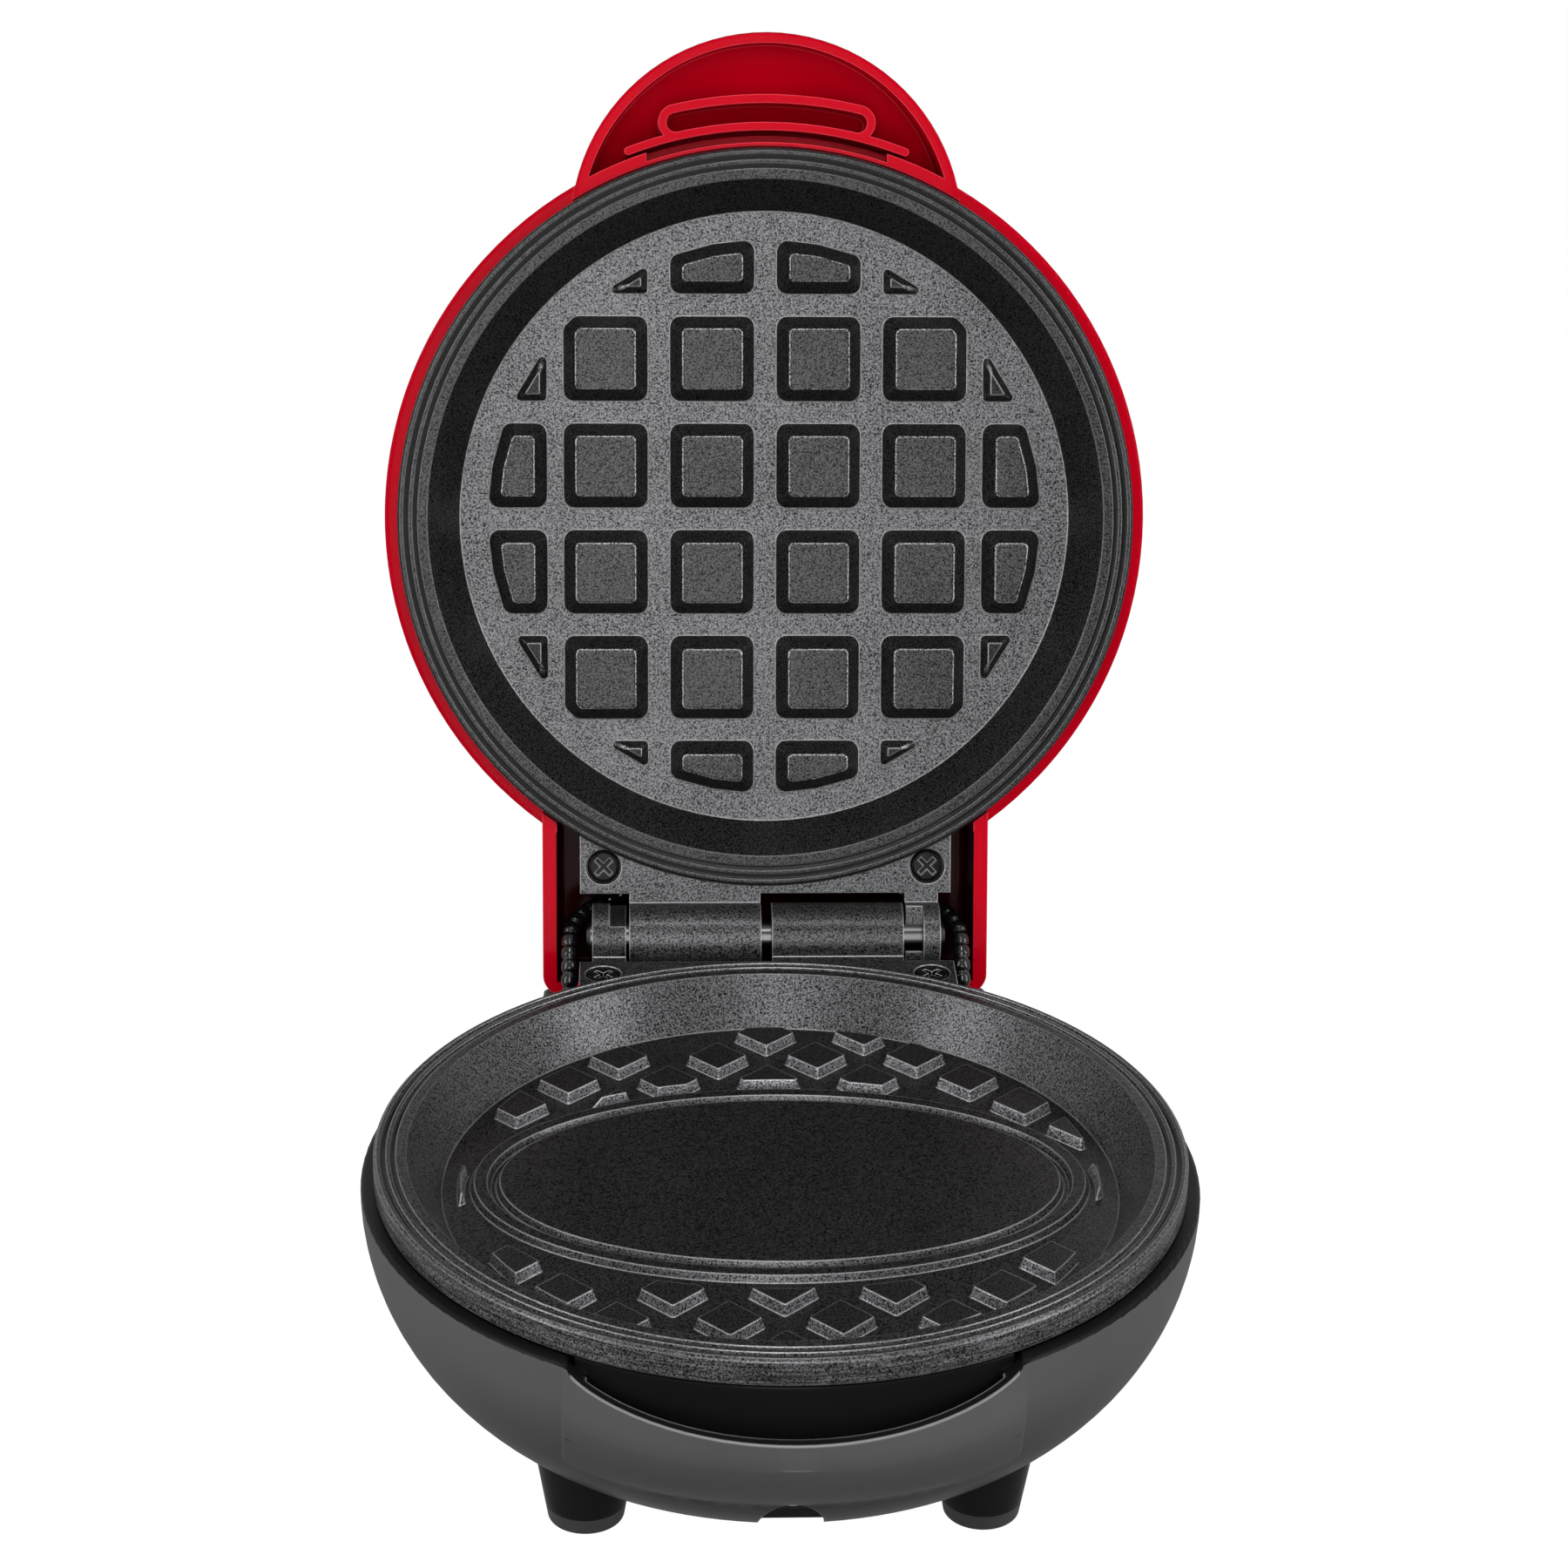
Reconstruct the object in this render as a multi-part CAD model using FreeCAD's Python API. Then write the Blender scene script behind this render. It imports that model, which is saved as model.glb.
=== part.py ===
import FreeCAD, Part
import math
import os
from FreeCAD import Vector

# Mini waffle maker. Millimetres, +Z up, +X to the right, the handle at -Y.
# Every piece is drawn with the lid shut and the lower plate's rim at z = 0, on
# the axis of the bowl. The export opens the lid about the hinge pin, and sets
# the part on the table with the origin under the middle of its box.

# Overall
rim_height = 42.7            # table to the rim of the lower plate
open_angle = 106.3           # lid, from shut to its stop
plate_gap = 0.3              # between the rims of the shut plates
waffle_radius = 51.0         # mouth of the batter tray
hinge_setback = 7.9          # pin axis behind the plates' rings

# Cast plates
tray_slope = 4.6             # run of the tray's sloping wall, floor to mouth
cavity_depth = 6.9
floor_thickness = 3.5
ring_width = 4.5             # around the tray's mouth
ring_height = 3.7
ring_edge = 0.4              # broken outer edge of the ring
ring_root = 2.5              # edge of the ring to where the tray's outer wall leaves it
tray_wall = 1.8              # wall of the tray at its floor
ring_lands = (0.9, 0.8, 0.6, 0.7)    # land, groove, land, groove from the edge in
groove_depth = 0.8
boss_place = 30.0            # screw bosses behind the floor, along x and y
boss_radius = 4.5
boss_height = 3.6
pilot_depth = 5.0
channel_wall = 1.0           # ribs that hold the heater
channel_height = 3.0

# Waffle blocks
block_sink = 0.2             # run of a block's slope below the floor
square_height = 3.2
square_inset = 1.875         # lean of a block's side, base to top
square_channel = 3.35        # between two blocks
square_margin = 4.2          # edge of the pattern, inside the floor's edge
square_pitches = 2.613       # pitches from the middle to the edge of the pattern
square_side_shift = 0.85     # cut blocks at the left and right, towards the middle
square_corner_cut = 1.8      # outer corner of the blocks at the pattern's corners
square_low_round = 1.7
square_top_round = 0.85
square_edge_round = 0.45
wedge_height = 1.8           # three-sided blocks at the pattern's edge
wedge_inset = 1.05
wedge_low_round = 0.7
wedge_top_round = 0.2
diamond_pitch = 10.18
diamond_offset = (-0.7, -1.0)
diamond_base = 6.6
diamond_height = 1.6
diamond_inset = 0.35
diamond_low_round = 0.4
diamond_top_round = 0.3
diamond_margin = 2.2         # edge of the pattern, inside the floor's edge
diamond_last = 1.8           # middle of the farthest block, inside the floor's edge
oval_half_length = 42.0      # plain raised oval in the middle of the lower plate
oval_half_width = 25.7
oval_height = 1.0
oval_draft = 0.5
oval_ring = 1.8              # border around the oval's groove
oval_groove = 1.7
oval_gap = 0.8               # between the oval and the blocks around it
oval_gap_forward = 1.3       # shift of that gap towards the front
smallest_block = 7.0         # cubic millimetres; less is neither kept nor cut away

# Hinge knuckles, cast on the plates
barrel_radius = 5.2
barrel_start = 0.8           # along the pin from the middle
barrel_end = 20.8
ear_start = 21.3
ear_end = 26.4
ear_notch_width = 2.5
lower_notch_floor = 3.6      # above the pin axis
upper_notch_floor = 1.6
pin_radius = 2.5
pin_clearance = 0.05
pin_end = 27.3
pin_chamfer = 0.6
flange_half_width = 28.3
flange_drop = 0.75           # flange face below the rim
flange_setback = 6.6         # back edge of the flange, in front of the pin
flange_front = 30.0

# Plate screws
plate_screw_x = 24.7
plate_screw_inset = 2.8      # inside the edge of the ring
screw_seat_radius = 2.7
screw_seat_depth = 1.7
screw_head_radius = 2.45
screw_head_height = 1.6
screw_shank_radius = 1.5
screw_length = 9.0
screw_clearance = 0.15
thread_clearance = 0.05      # shank to the hole it bites in
cross_width = 0.7
cross_depth = 0.9

# Shells
shell_proud = 1.8            # bowl's side outside the plate's ring
lid_proud = 2.15             # lid's side outside the plate's ring
shell_wall = 2.2
shell_rim_drop = 4.2         # shell rim behind the plate's rim
shell_rim_round = 0.6
rim_straight = 1.0           # upright run of a shell before it curves
skirt_inset = 12.3           # lower edge of the bowl, inside its rim
skirt_height = 11.5          # table to the lower edge of the bowl
dome_curve = 23.0
dome_crown_from = 82.0       # degrees round the dome's curve, where the crown starts
post_radius = 3.8
cut_over = 1.0               # how far a cutting shape runs past a face

# Handle on the lid
handle_overhang = 14.95      # front of the handle, outside the lid's side
handle_curve = 29.4
handle_wall = 1.6
handle_bottom = 2.0          # above the lid's rim plane
handle_tip_top = 9.0
handle_slope = 19.0
handle_roof = 2.0
handle_round = 2.5
handle_edge_round = 0.5
bar_gap = 0.55               # inner face of the bar, outside the lid's side
bar_thickness = 1.2
bar_half_width = 20.7
bar_bottom = 2.3
slot_width = 2.8
slot_half_width = 13.6
slot_frame_wall = 1.3
bar_groove_bite = 1.25       # groove behind the bar, into the lid's side
bar_groove_half = 18.0
bar_groove_top = 8.0
ring_clearance = 0.4         # plate's ring to the lid around it

# Tongue at the front of a plate, held in a socket of its shell's catch wall
lug_half_width = 10.0
lug_top = 6.0                # below the rim
lug_thickness = 2.0
lug_end_gap = 0.3            # tip of the tongue to the socket's bottom
lug_clearance = 0.35
catch_skin = 0.6             # left between the socket and the wall's outer face
catch_half_width = 14.0
catch_depth = 9.0

# Hinge hood of the lid and the rear block of the base
hood_half_width = 34.0
hood_back = 9.1              # back face, behind the pin
hood_bottom = 1.0
hood_top = 20.0
hood_front = 30.0
hood_round = 3.0
hood_inner_round = 0.8
stop_gap = 0.3               # open lid to the stop face of the block
block_back = 8.6
block_front = 36.0
block_top_drop = 9.0         # top of the block in front of the stop face
block_round = 6.0

# Front lip of the base
lip_half_width = 29.2
lip_drop = 4.5               # lip's top below the rim of the plate
lip_face = 7.5               # height of its upright face
lip_overhang = 5.2           # front of that face, outside the bowl at its foot
lip_end_step = 0.8           # ends of that face, outside the bowl
lip_waist_drop = 17.0
lip_waist_overhang = 3.1
lip_waist_step = 0.5
lip_root_drop = 25.0         # where the swell under the face ends, inside the wall
lip_root_overhang = -0.5
lip_root_step = -0.3
lip_wall = 1.5
scoop_half_width = 28.4      # hollow across the lip's top
scoop_depth = 3.8
dish_depth = 14.0            # below the scoop, on the axis of the lip's face
dish_half_width = 26.0
pocket_setback = 0.4         # back wall of the finger pocket, inside the plate's ring
pocket_wall = 1.7
pocket_wall_foot = 16.0
pocket_wall_front = 40.0
skirt_notch_half_width = 4.25
skirt_notch_height = 7.4
skirt_notch_depth = 1.2

# Legs, feet and bottom cover
leg_inset = 8.0              # front legs, inside the bowl's lower edge
leg_turn = 46.0              # degrees of their place from the front
rear_leg_x = 26.0
rear_leg_setback = 1.0       # behind the pin
foot_radius = 5.1
foot_height = 2.5
foot_stem_radius = 2.0
foot_stem_length = 4.5
foot_stem_clearance = 0.05
leg_taper = 0.16             # gain of radius for each millimetre of height
leg_top = 16.0
cover_height = 12.2          # table to the cover's underside
cover_thickness = 2.0
cover_clearance = 0.5
cover_screw_places = ((30.0, -4.0), (27.4, 46.0))
cover_post_top = 20.0
cover_head_radius = 2.9
cover_head_height = 1.4
cover_screw_length = 6.0
rib_thickness = 2.0
vent_count = 5
vent_pitch = 6.0
vent_width = 2.2
vent_length = 22.0

# Heaters and shields
heater_ring = 31.0
heater_radius = 3.2
heater_seat_gap = 0.1
heater_gap_half_angle = 30.0
heater_bend = 9.0
heater_end_y = 45.0
heater_pin_radius = 1.1
heater_pin_y = 53.0
seal_radius = 3.2
seal_length = 3.0
shield_thickness = 0.6
shield_flange_inner = 38.5
shield_flange_outer = 47.4
shield_floor_radius = 36.0
lower_shield_drop = 22.0     # pan's floor below the rim
upper_shield_drop = 19.0
shield_slot_half = 4.3
shield_slot_front = 30.0
shield_head_radius = 2.6
shield_head_height = 1.2
shield_screw_length = 5.0

# Thermostat, fuse, terminals and gland
thermostat_y = 2.0
thermostat_radius = 8.0
thermostat_height = 6.5
thermostat_cap_radius = 6.2
thermostat_cap_height = 0.6
thermostat_ear_x = 11.5
thermostat_ear_width = 7.0
thermostat_ear_thickness = 0.8
thermostat_grip = 2.0        # screw run in the plate
blade_width = 4.8
blade_thickness = 0.8
blade_length = 3.0
blade_x = 4.0
fuse_place = (-2.0, -19.0)
fuse_radius = 2.0
fuse_clearance = 0.1
fuse_length = 13.0
fuse_wire_radius = 0.5
fuse_wire_length = 6.0
clip_thickness = 0.6
clip_width = 5.0
clip_foot = 4.0
terminal_setback = 11.4      # in front of the pin
terminal_size = (26.0, 9.0, 9.0)
terminal_hole_radius = 1.6
terminal_pitch = 8.0
gland_height = 21.6          # above the table
gland_radius = 5.0
gland_flange_radius = 7.0
gland_flange = 2.0
gland_bore = 3.3
gland_tail = 2.5
gland_clearance = 0.1

# Indicator lamp in the lid
lamp_y = -22.0
lens_radius = 3.0
lens_rise = 0.9
lens_flange_radius = 4.2
lens_flange = 0.8
lens_clearance = 0.1
lamp_radius = 2.4
lamp_length = 4.2
holder_wall = 1.0
holder_length = 3.4

# Sleeved leads that pass the hinge: x, then y from the pin, then z
lead_radius = 1.3
lead_hole_radius = 1.7
lead_x = 29.9
lead_setback = -5.9
lead_start = ((13.45, -10.8, 5.1), (25.0, -7.4, 7.2))    # beside the terminals, z from the cover's top
lead_route = (
    (lead_x, lead_setback, -17.0),
    (lead_x, lead_setback, -8.0),
    (lead_x, -2.9, -2.0),
    (lead_x, 3.1, 1.2),
    (25.0, 10.1, 1.6),
    (15.0, 15.1, 3.4),
)

# Derived places
Z_AXIS = Vector(0, 0, 1)
X_AXIS = Vector(1, 0, 0)
Y_AXIS = Vector(0, 1, 0)
ORIGIN = Vector(0, 0, 0)
table = -rim_height
floor_radius = waffle_radius - tray_slope
ring_radius = waffle_radius + ring_width
ring_root_radius = ring_radius - ring_root
tray_root_radius = floor_radius + tray_wall
hinge_y = ring_radius + hinge_setback
hinge_z = plate_gap / 2
plate_screw_y = ring_radius - plate_screw_inset
square_field = floor_radius - square_margin
square_pitch = square_field / square_pitches
diamond_field = floor_radius - diamond_margin
shell_radius = ring_radius + shell_proud
lid_radius = ring_radius + lid_proud
pocket_radius = ring_radius - pocket_setback
lug_reach = pocket_radius - catch_skin - lug_end_gap
bar_radius = lid_radius + bar_gap
bar_groove_radius = lid_radius - bar_groove_bite
handle_reach = lid_radius + handle_overhang
rim_top = -shell_rim_drop
dome_centre = (lid_radius - dome_curve, shell_rim_drop + rim_straight)
skirt_radius = shell_radius - skirt_inset
skirt_edge = table + skirt_height
bowl_start = rim_top - rim_straight
bowl_curve = (skirt_inset ** 2 + (bowl_start - skirt_edge) ** 2) / (2 * skirt_inset)
bowl_centre = (shell_radius - bowl_curve, bowl_start)
floor_under = -cavity_depth - floor_thickness
boss_end = floor_under - boss_height
pilot_radius = screw_shank_radius + thread_clearance
heater_z = floor_under - heater_seat_gap - heater_radius
shield_seat = boss_end
cover_under = table + cover_height
cover_top = cover_under + cover_thickness
flange_back = hinge_y - flange_setback
flange_face = -flange_drop
block_rear = hinge_y + block_back
hood_rear = hinge_y + hood_back
handle_centre = -(handle_reach - handle_curve)
leg_radius = skirt_radius - leg_inset
leg_angle = math.radians(leg_turn)
front_leg = (leg_radius * math.sin(leg_angle), -leg_radius * math.cos(leg_angle))
rear_leg = (rear_leg_x, hinge_y + rear_leg_setback)
terminal_y = hinge_y - terminal_setback
lead_y = hinge_y + lead_setback


def box(x0, x1, y0, y1, z0, z1):
    return Part.makeBox(x1 - x0, y1 - y0, z1 - z0, Vector(x0, y0, z0))


def cylinder(x, y, z0, z1, radius):
    return Part.makeCylinder(radius, z1 - z0, Vector(x, y, z0), Z_AXIS)


def ring(inner, outer, z0, z1):
    return cylinder(0, 0, z0, z1, outer).cut(cylinder(0, 0, z0 - cut_over, z1 + cut_over, inner))


def mirrored(shape):
    return shape.mirror(ORIGIN, X_AXIS)


def turned_over(shape):
    """The same piece for the lid: half a turn about the line between the shut rims."""
    copy = shape.copy()
    copy.rotate(Vector(0, 0, hinge_z), Y_AXIS, 180)
    return copy


def in_profile(radius, z):
    return Vector(radius, 0, z)


def line(start, end):
    return Part.LineSegment(in_profile(*start), in_profile(*end)).toShape()


def arc(centre, radius, start_deg, end_deg):
    points = []
    for angle in (start_deg, (start_deg + end_deg) / 2, end_deg):
        turn = math.radians(angle)
        points.append(in_profile(centre[0] + radius * math.cos(turn), centre[1] + radius * math.sin(turn)))
    return Part.Arc(*points).toShape()


def revolved(edges):
    return Part.Face(Part.Wire(edges)).revolve(ORIGIN, Z_AXIS, 360)


def revolved_polygon(points):
    corners = [in_profile(*p) for p in points]
    return Part.Face(Part.makePolygon(corners + corners[:1])).revolve(ORIGIN, Z_AXIS, 360)


def moved_in(corners, inset):
    """Corners of an anticlockwise polygon after each of its sides moves inwards."""
    sides = []
    for start, end in zip(corners, corners[1:] + corners[:1]):
        along = (Vector(*end) - Vector(*start)).normalize()
        sides.append((Vector(*start) + Vector(-along.y, along.x) * inset, along))
    moved = []
    for (point, along), (other, ahead) in zip(sides[-1:] + sides[:-1], sides):
        reach = (other - point).cross(ahead).z / along.cross(ahead).z
        corner = point + along * reach
        moved.append((corner.x, corner.y))
    return moved


def rounded_outline(corners, radius, z):
    """Wire of a polygon with round corners at height z."""
    bends = []
    for before, at, after in zip(corners[-1:] + corners[:-1], corners, corners[1:] + corners[:1]):
        corner = Vector(*at, z)
        back = (Vector(*before, z) - corner).normalize()
        ahead = (Vector(*after, z) - corner).normalize()
        half_turn = back.getAngle(ahead) / 2
        reach = radius / math.tan(half_turn)
        inwards = (back + ahead).normalize()
        middle = corner + inwards * (radius / math.sin(half_turn) - radius)
        bends.append((corner + back * reach, middle, corner + ahead * reach))
    edges = []
    for bend, following in zip(bends, bends[1:] + bends[:1]):
        edges.append(Part.Arc(*bend).toShape())
        edges.append(Part.LineSegment(bend[2], following[0]).toShape())
    return Part.Wire(edges)


def waffle_block(corners, height, inset, low_round, top_round):
    """Drafted block on the tray's floor over a polygon."""
    floor = -cavity_depth
    sink = inset / height * block_sink
    low = rounded_outline(moved_in(corners, -sink), low_round, floor - block_sink)
    high = rounded_outline(moved_in(corners, inset), top_round, floor + height)
    return Part.makeLoft([low, high], True, True)


def square_block(corners):
    block = waffle_block(corners, square_height, square_inset, square_low_round, square_top_round)
    top = [e for e in block.Edges if e.BoundBox.ZMin > square_height - cavity_depth - 0.01]
    return block.makeFillet(square_edge_round, top)


def wedge_block(corners):
    return waffle_block(corners, wedge_height, wedge_inset, wedge_low_round, wedge_top_round)


def square_quarter():
    """Blocks of the pattern's right back quarter."""
    def to_edge(across):
        return math.sqrt(square_field ** 2 - across ** 2)

    first = square_channel / 2
    near, near_end = first, square_pitch - first
    far, far_end = near + square_pitch, near_end + square_pitch
    middle = square_pitch / 2
    cut_off = far_end - square_corner_cut
    end_row = near + 2 * square_pitch
    side_row = end_row - square_side_shift
    squares = [[(near, near), (near_end, near), (near_end, near_end), (near, near_end)],
               [(far, near), (far_end, near), (far_end, near_end), (far, near_end)],
               [(near, far), (near_end, far), (near_end, far_end), (near, far_end)],
               [(far, far), (far_end, far), (far_end, cut_off), (cut_off, far_end), (far, far_end)],
               [(side_row, near), (to_edge(near), near), (to_edge(middle), middle),
                (to_edge(near_end), near_end), (side_row, near_end)],
               [(near, end_row), (near_end, end_row), (near_end, to_edge(near_end)),
                (middle, to_edge(middle)), (near, to_edge(near))]]
    wedges = [[(side_row, far), (to_edge(far), far), (side_row, to_edge(side_row))],
              [(far, end_row), (to_edge(end_row), end_row), (far, to_edge(far))]]
    return [square_block(corners) for corners in squares] + [wedge_block(corners) for corners in wedges]


def square_blocks():
    half = [shape for block in square_quarter() for shape in (block, mirrored(block))]
    return half + [block.mirror(ORIGIN, Y_AXIS) for block in half]


def diamond_centres():
    """Middles of the blocks, on a square grid turned by an eighth of a turn."""
    half = diamond_pitch * math.sqrt(0.5)
    reach = math.ceil(diamond_field / half) + 1
    centres = []
    for i in range(-reach, reach + 1):
        for j in range(-reach, reach + 1):
            x, y = i * half + diamond_offset[0], j * half + diamond_offset[1]
            if (i + j) % 2 == 0 and math.hypot(x, y) < floor_radius - diamond_last:
                centres.append((x, y))
    return centres


def diamond_blocks():
    """Blocks around the oval, inside the pattern's round edge."""
    point = diamond_base * math.sqrt(0.5)
    block = waffle_block([(point, 0), (0, point), (-point, 0), (0, -point)],
                         diamond_height, diamond_inset, diamond_low_round, diamond_top_round)
    draft = diamond_inset / diamond_height
    low, high = -cavity_depth - block_sink, -cavity_depth + diamond_height
    edge = Part.makeCone(diamond_field + draft * block_sink, diamond_field - diamond_inset, high - low,
                         Vector(0, 0, low))
    around = oval_draft + oval_gap
    keep_out = oval_body(around - draft * block_sink, low, around + diamond_inset, high, oval_gap_forward)
    kept = []
    for x, y in diamond_centres():
        solid = block.copy()
        solid.translate(Vector(x, y, 0))
        if math.hypot(x, y) + diamond_base > diamond_field:
            solid = solid.common(edge)
        if solid.common(keep_out).Volume > smallest_block:
            solid = solid.cut(keep_out)
        kept += [piece for piece in solid.Solids if piece.Volume > smallest_block]
    return kept


def oval(grow, z, forward):
    length, width = oval_half_length + grow, oval_half_width + grow + forward
    return Part.Wire(Part.Ellipse(Vector(0, -forward, z), length, width).toShape())


def oval_body(low_grow, low, high_grow, high, forward=0.0):
    return Part.makeLoft([oval(low_grow, low, forward), oval(high_grow, high, forward)], True, True)


def medallion():
    """Raised oval with a groove inside its border."""
    floor, top = -cavity_depth, -cavity_depth + oval_height
    slope = oval_draft / oval_height
    sink, over = slope * block_sink, slope * cut_over
    body = oval_body(oval_draft + sink, floor - block_sink, 0, top)
    outer, inner = -oval_ring, -oval_ring - oval_groove
    groove = oval_body(outer - oval_draft, floor, outer + over, top + cut_over)
    field = oval_body(inner + oval_draft, floor, inner - over, top + cut_over)
    return body.cut(groove.cut(field))


def tray():
    """Round tray with its grooved ring."""
    top = [(0, -cavity_depth), (floor_radius, -cavity_depth), (waffle_radius, 0)]
    radius = ring_radius
    grooves = []
    for step, width in enumerate(ring_lands):
        level = -groove_depth if step % 2 else 0
        grooves += [(radius, level), (radius - width, level)]
        radius -= width
    grooves[0] = (ring_radius - ring_edge, 0)
    under = [(ring_radius, -ring_edge), (ring_radius, -ring_height), (ring_root_radius, -ring_height),
             (tray_root_radius, floor_under), (0, floor_under)]
    return revolved_polygon(top + [(radius, 0)] + grooves[::-1] + under)


def knuckle(start, end):
    """Hinge knuckle with the web that joins it to the flange; bored later."""
    barrel = Part.makeCylinder(barrel_radius, end - start, Vector(start, hinge_y, hinge_z), X_AXIS)
    web = box(start, end, flange_back - cut_over, hinge_y, -ring_height, flange_face)
    return barrel.fuse(web)


def pin_bore(radius):
    length = 2 * (ear_end + cut_over)
    return Part.makeCylinder(radius, length, Vector(-length / 2, hinge_y, hinge_z), X_AXIS)


def heater_channel():
    """Ribs behind the floor on both sides of the heater's ring."""
    gap = heater_radius + heater_seat_gap
    top, low = floor_under + block_sink, floor_under - channel_height
    inner = ring(heater_ring - gap - channel_wall, heater_ring - gap, low, top)
    outer = ring(heater_ring + gap, heater_ring + gap + channel_wall, low, top)
    open_side = box(-heater_ring, heater_ring, heater_ring / 2, 2 * heater_ring,
                    low - cut_over, top + cut_over)
    return [part for rib in (inner, outer) for part in rib.cut(open_side).Solids]


def plate_bosses():
    places = [(x, y) for x in (-boss_place, boss_place) for y in (-boss_place, boss_place)]
    return [cylinder(x, y, boss_end, floor_under + block_sink, boss_radius) for x, y in places]


def boss_pilots():
    places = [(x, y) for x in (-boss_place, boss_place) for y in (-boss_place, boss_place)]
    return [cylinder(x, y, boss_end - cut_over, boss_end + pilot_depth, pilot_radius) for x, y in places]


def thermostat_pilots():
    depth = floor_under + pilot_depth / 2
    return [cylinder(x, thermostat_y, floor_under - cut_over, depth, pilot_radius)
            for x in (-thermostat_ear_x, thermostat_ear_x)]


def front_lug():
    """Tongue at the front of a plate, under its ring."""
    lug = box(-lug_half_width, lug_half_width, -lug_reach, -tray_root_radius,
              -lug_top - lug_thickness, -lug_top)
    return lug.common(cylinder(0, 0, -2 * catch_depth, 0, lug_reach))


def catch_wall(half_width, foot):
    """Wall under the front of a plate's ring, with the socket for the plate's tongue."""
    inner = pocket_radius - pocket_wall
    wall = ring(inner, pocket_radius, -foot, rim_top)
    wall = wall.common(box(-half_width, half_width, -shell_radius, -pocket_wall_front, -foot, 0))
    reach = lug_half_width + lug_clearance
    low, high = -lug_top - lug_thickness - lug_clearance, -lug_top + lug_clearance
    socket = box(-reach, reach, -shell_radius, -pocket_wall_front, low, high)
    return wall.cut(socket.common(cylinder(0, 0, low, high, pocket_radius - catch_skin)))


def casting(blocks, notch_floor):
    """Plate as it lies in the base: tray, blocks, flange and its two knuckles."""
    flange = box(-flange_half_width, flange_half_width, flange_front, flange_back, -ring_height, flange_face)
    flange = flange.cut(cylinder(0, 0, -2 * ring_height, ring_height, ring_root_radius))
    ear = knuckle(-ear_end, -ear_start)
    notch = box(-ear_start - ear_notch_width, -ear_start + cut_over, hinge_y - 2 * barrel_radius,
                hinge_y + 2 * barrel_radius, hinge_z + notch_floor, hinge_z + 2 * barrel_radius)
    solid = tray().fuse([flange, knuckle(barrel_start, barrel_end), ear.cut(notch)])
    solid = solid.fuse(blocks + heater_channel() + plate_bosses() + [front_lug()])
    cuts = [pin_bore(pin_radius + pin_clearance)] + boss_pilots()
    for x in (-plate_screw_x, plate_screw_x):
        cuts.append(cylinder(x, plate_screw_y, flange_face - screw_seat_depth, 0, screw_seat_radius))
        cuts.append(cylinder(x, plate_screw_y, -2 * ring_height, 0, screw_shank_radius + screw_clearance))
    return solid.cut(cuts)


def lower_plate():
    solid = casting(diamond_blocks() + [medallion()], lower_notch_floor)
    return solid.cut(thermostat_pilots()).removeSplitter()


def upper_plate():
    return turned_over(casting(square_blocks(), upper_notch_floor).removeSplitter())


def cross_screw(x, y, seat, head_radius, head_height, length):
    """Pan-head cross screw with its head above the seat."""
    head = cylinder(x, y, seat, seat + head_height, head_radius)
    head = head.makeFillet(head_height / 3, [head.Edges[0]])
    shank = cylinder(x, y, seat - length, seat + head_height / 2, screw_shank_radius)
    top = seat + head_height
    arm = head_radius * 0.66
    slot = box(x - arm, x + arm, y - cross_width / 2, y + cross_width / 2, top - cross_depth, top + cut_over)
    other = slot.copy()
    other.rotate(Vector(x, y, 0), Z_AXIS, 90)
    both = slot.fuse(other)
    both.rotate(Vector(x, y, 0), Z_AXIS, 45)
    return head.fuse(shank).cut(both)


def upside_down(shape, x, y, z):
    copy = shape.copy()
    copy.rotate(Vector(x, y, z), Y_AXIS, 180)
    return copy


def screw_from_below(x, y, seat, head_radius, head_height, length):
    return upside_down(cross_screw(x, y, seat, head_radius, head_height, length), x, y, seat)


def plate_screws():
    seat = flange_face - screw_seat_depth
    screw = cross_screw(plate_screw_x, plate_screw_y, seat,
                        screw_head_radius, screw_head_height, screw_length)
    return Part.makeCompound([screw, mirrored(screw)])


def hinge_pin():
    pin = Part.makeCylinder(pin_radius, 2 * pin_end, Vector(-pin_end, hinge_y, hinge_z), X_AXIS)
    ends = [edge for edge in pin.Edges if edge.Curve.TypeId == "Part::GeomCircle"]
    return pin.makeChamfer(pin_chamfer, ends)


def curve_radius_at(centre, curve, z):
    """Radius of a shell's curve at a height, straight above its centre."""
    drop = max(0.0, centre[1] - z)
    return centre[0] + math.sqrt(curve ** 2 - drop ** 2)


def bowl(inset, foot, high):
    """Bowl's body of revolution down to a foot, inset from the outside."""
    curve = bowl_curve - inset
    radius = curve_radius_at(bowl_centre, curve, foot)
    lean = -math.degrees(math.asin((bowl_start - foot) / curve))
    side = bowl_centre[0] + curve
    return revolved([
        line((0, foot), (radius, foot)), arc(bowl_centre, curve, lean, 0),
        line((side, bowl_start), (side, high)), line((side, high), (0, high)), line((0, high), (0, foot))])


def bowl_hollow(inset, low):
    """Inside of the bowl; it runs straight down from the cover's level."""
    radius = curve_radius_at(bowl_centre, bowl_curve - inset, cover_under)
    return bowl(inset, cover_under, cut_over).fuse(cylinder(0, 0, low, cover_under, radius))


def lip_section(z, overhang, end_step):
    """Circle through the lip's front and its two ends; its wire, radius and centre."""
    radius = curve_radius_at(bowl_centre, bowl_curve, z)
    front = radius + overhang
    rise = front - math.sqrt((radius + end_step) ** 2 - lip_half_width ** 2)
    curve = (lip_half_width ** 2 + rise ** 2) / (2 * rise)
    return Part.Wire(Part.makeCircle(curve, Vector(0, curve - front, z))), curve, curve - front


def lip_foot():
    return lip_section(-lip_drop - lip_face, lip_overhang, lip_end_step)


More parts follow.
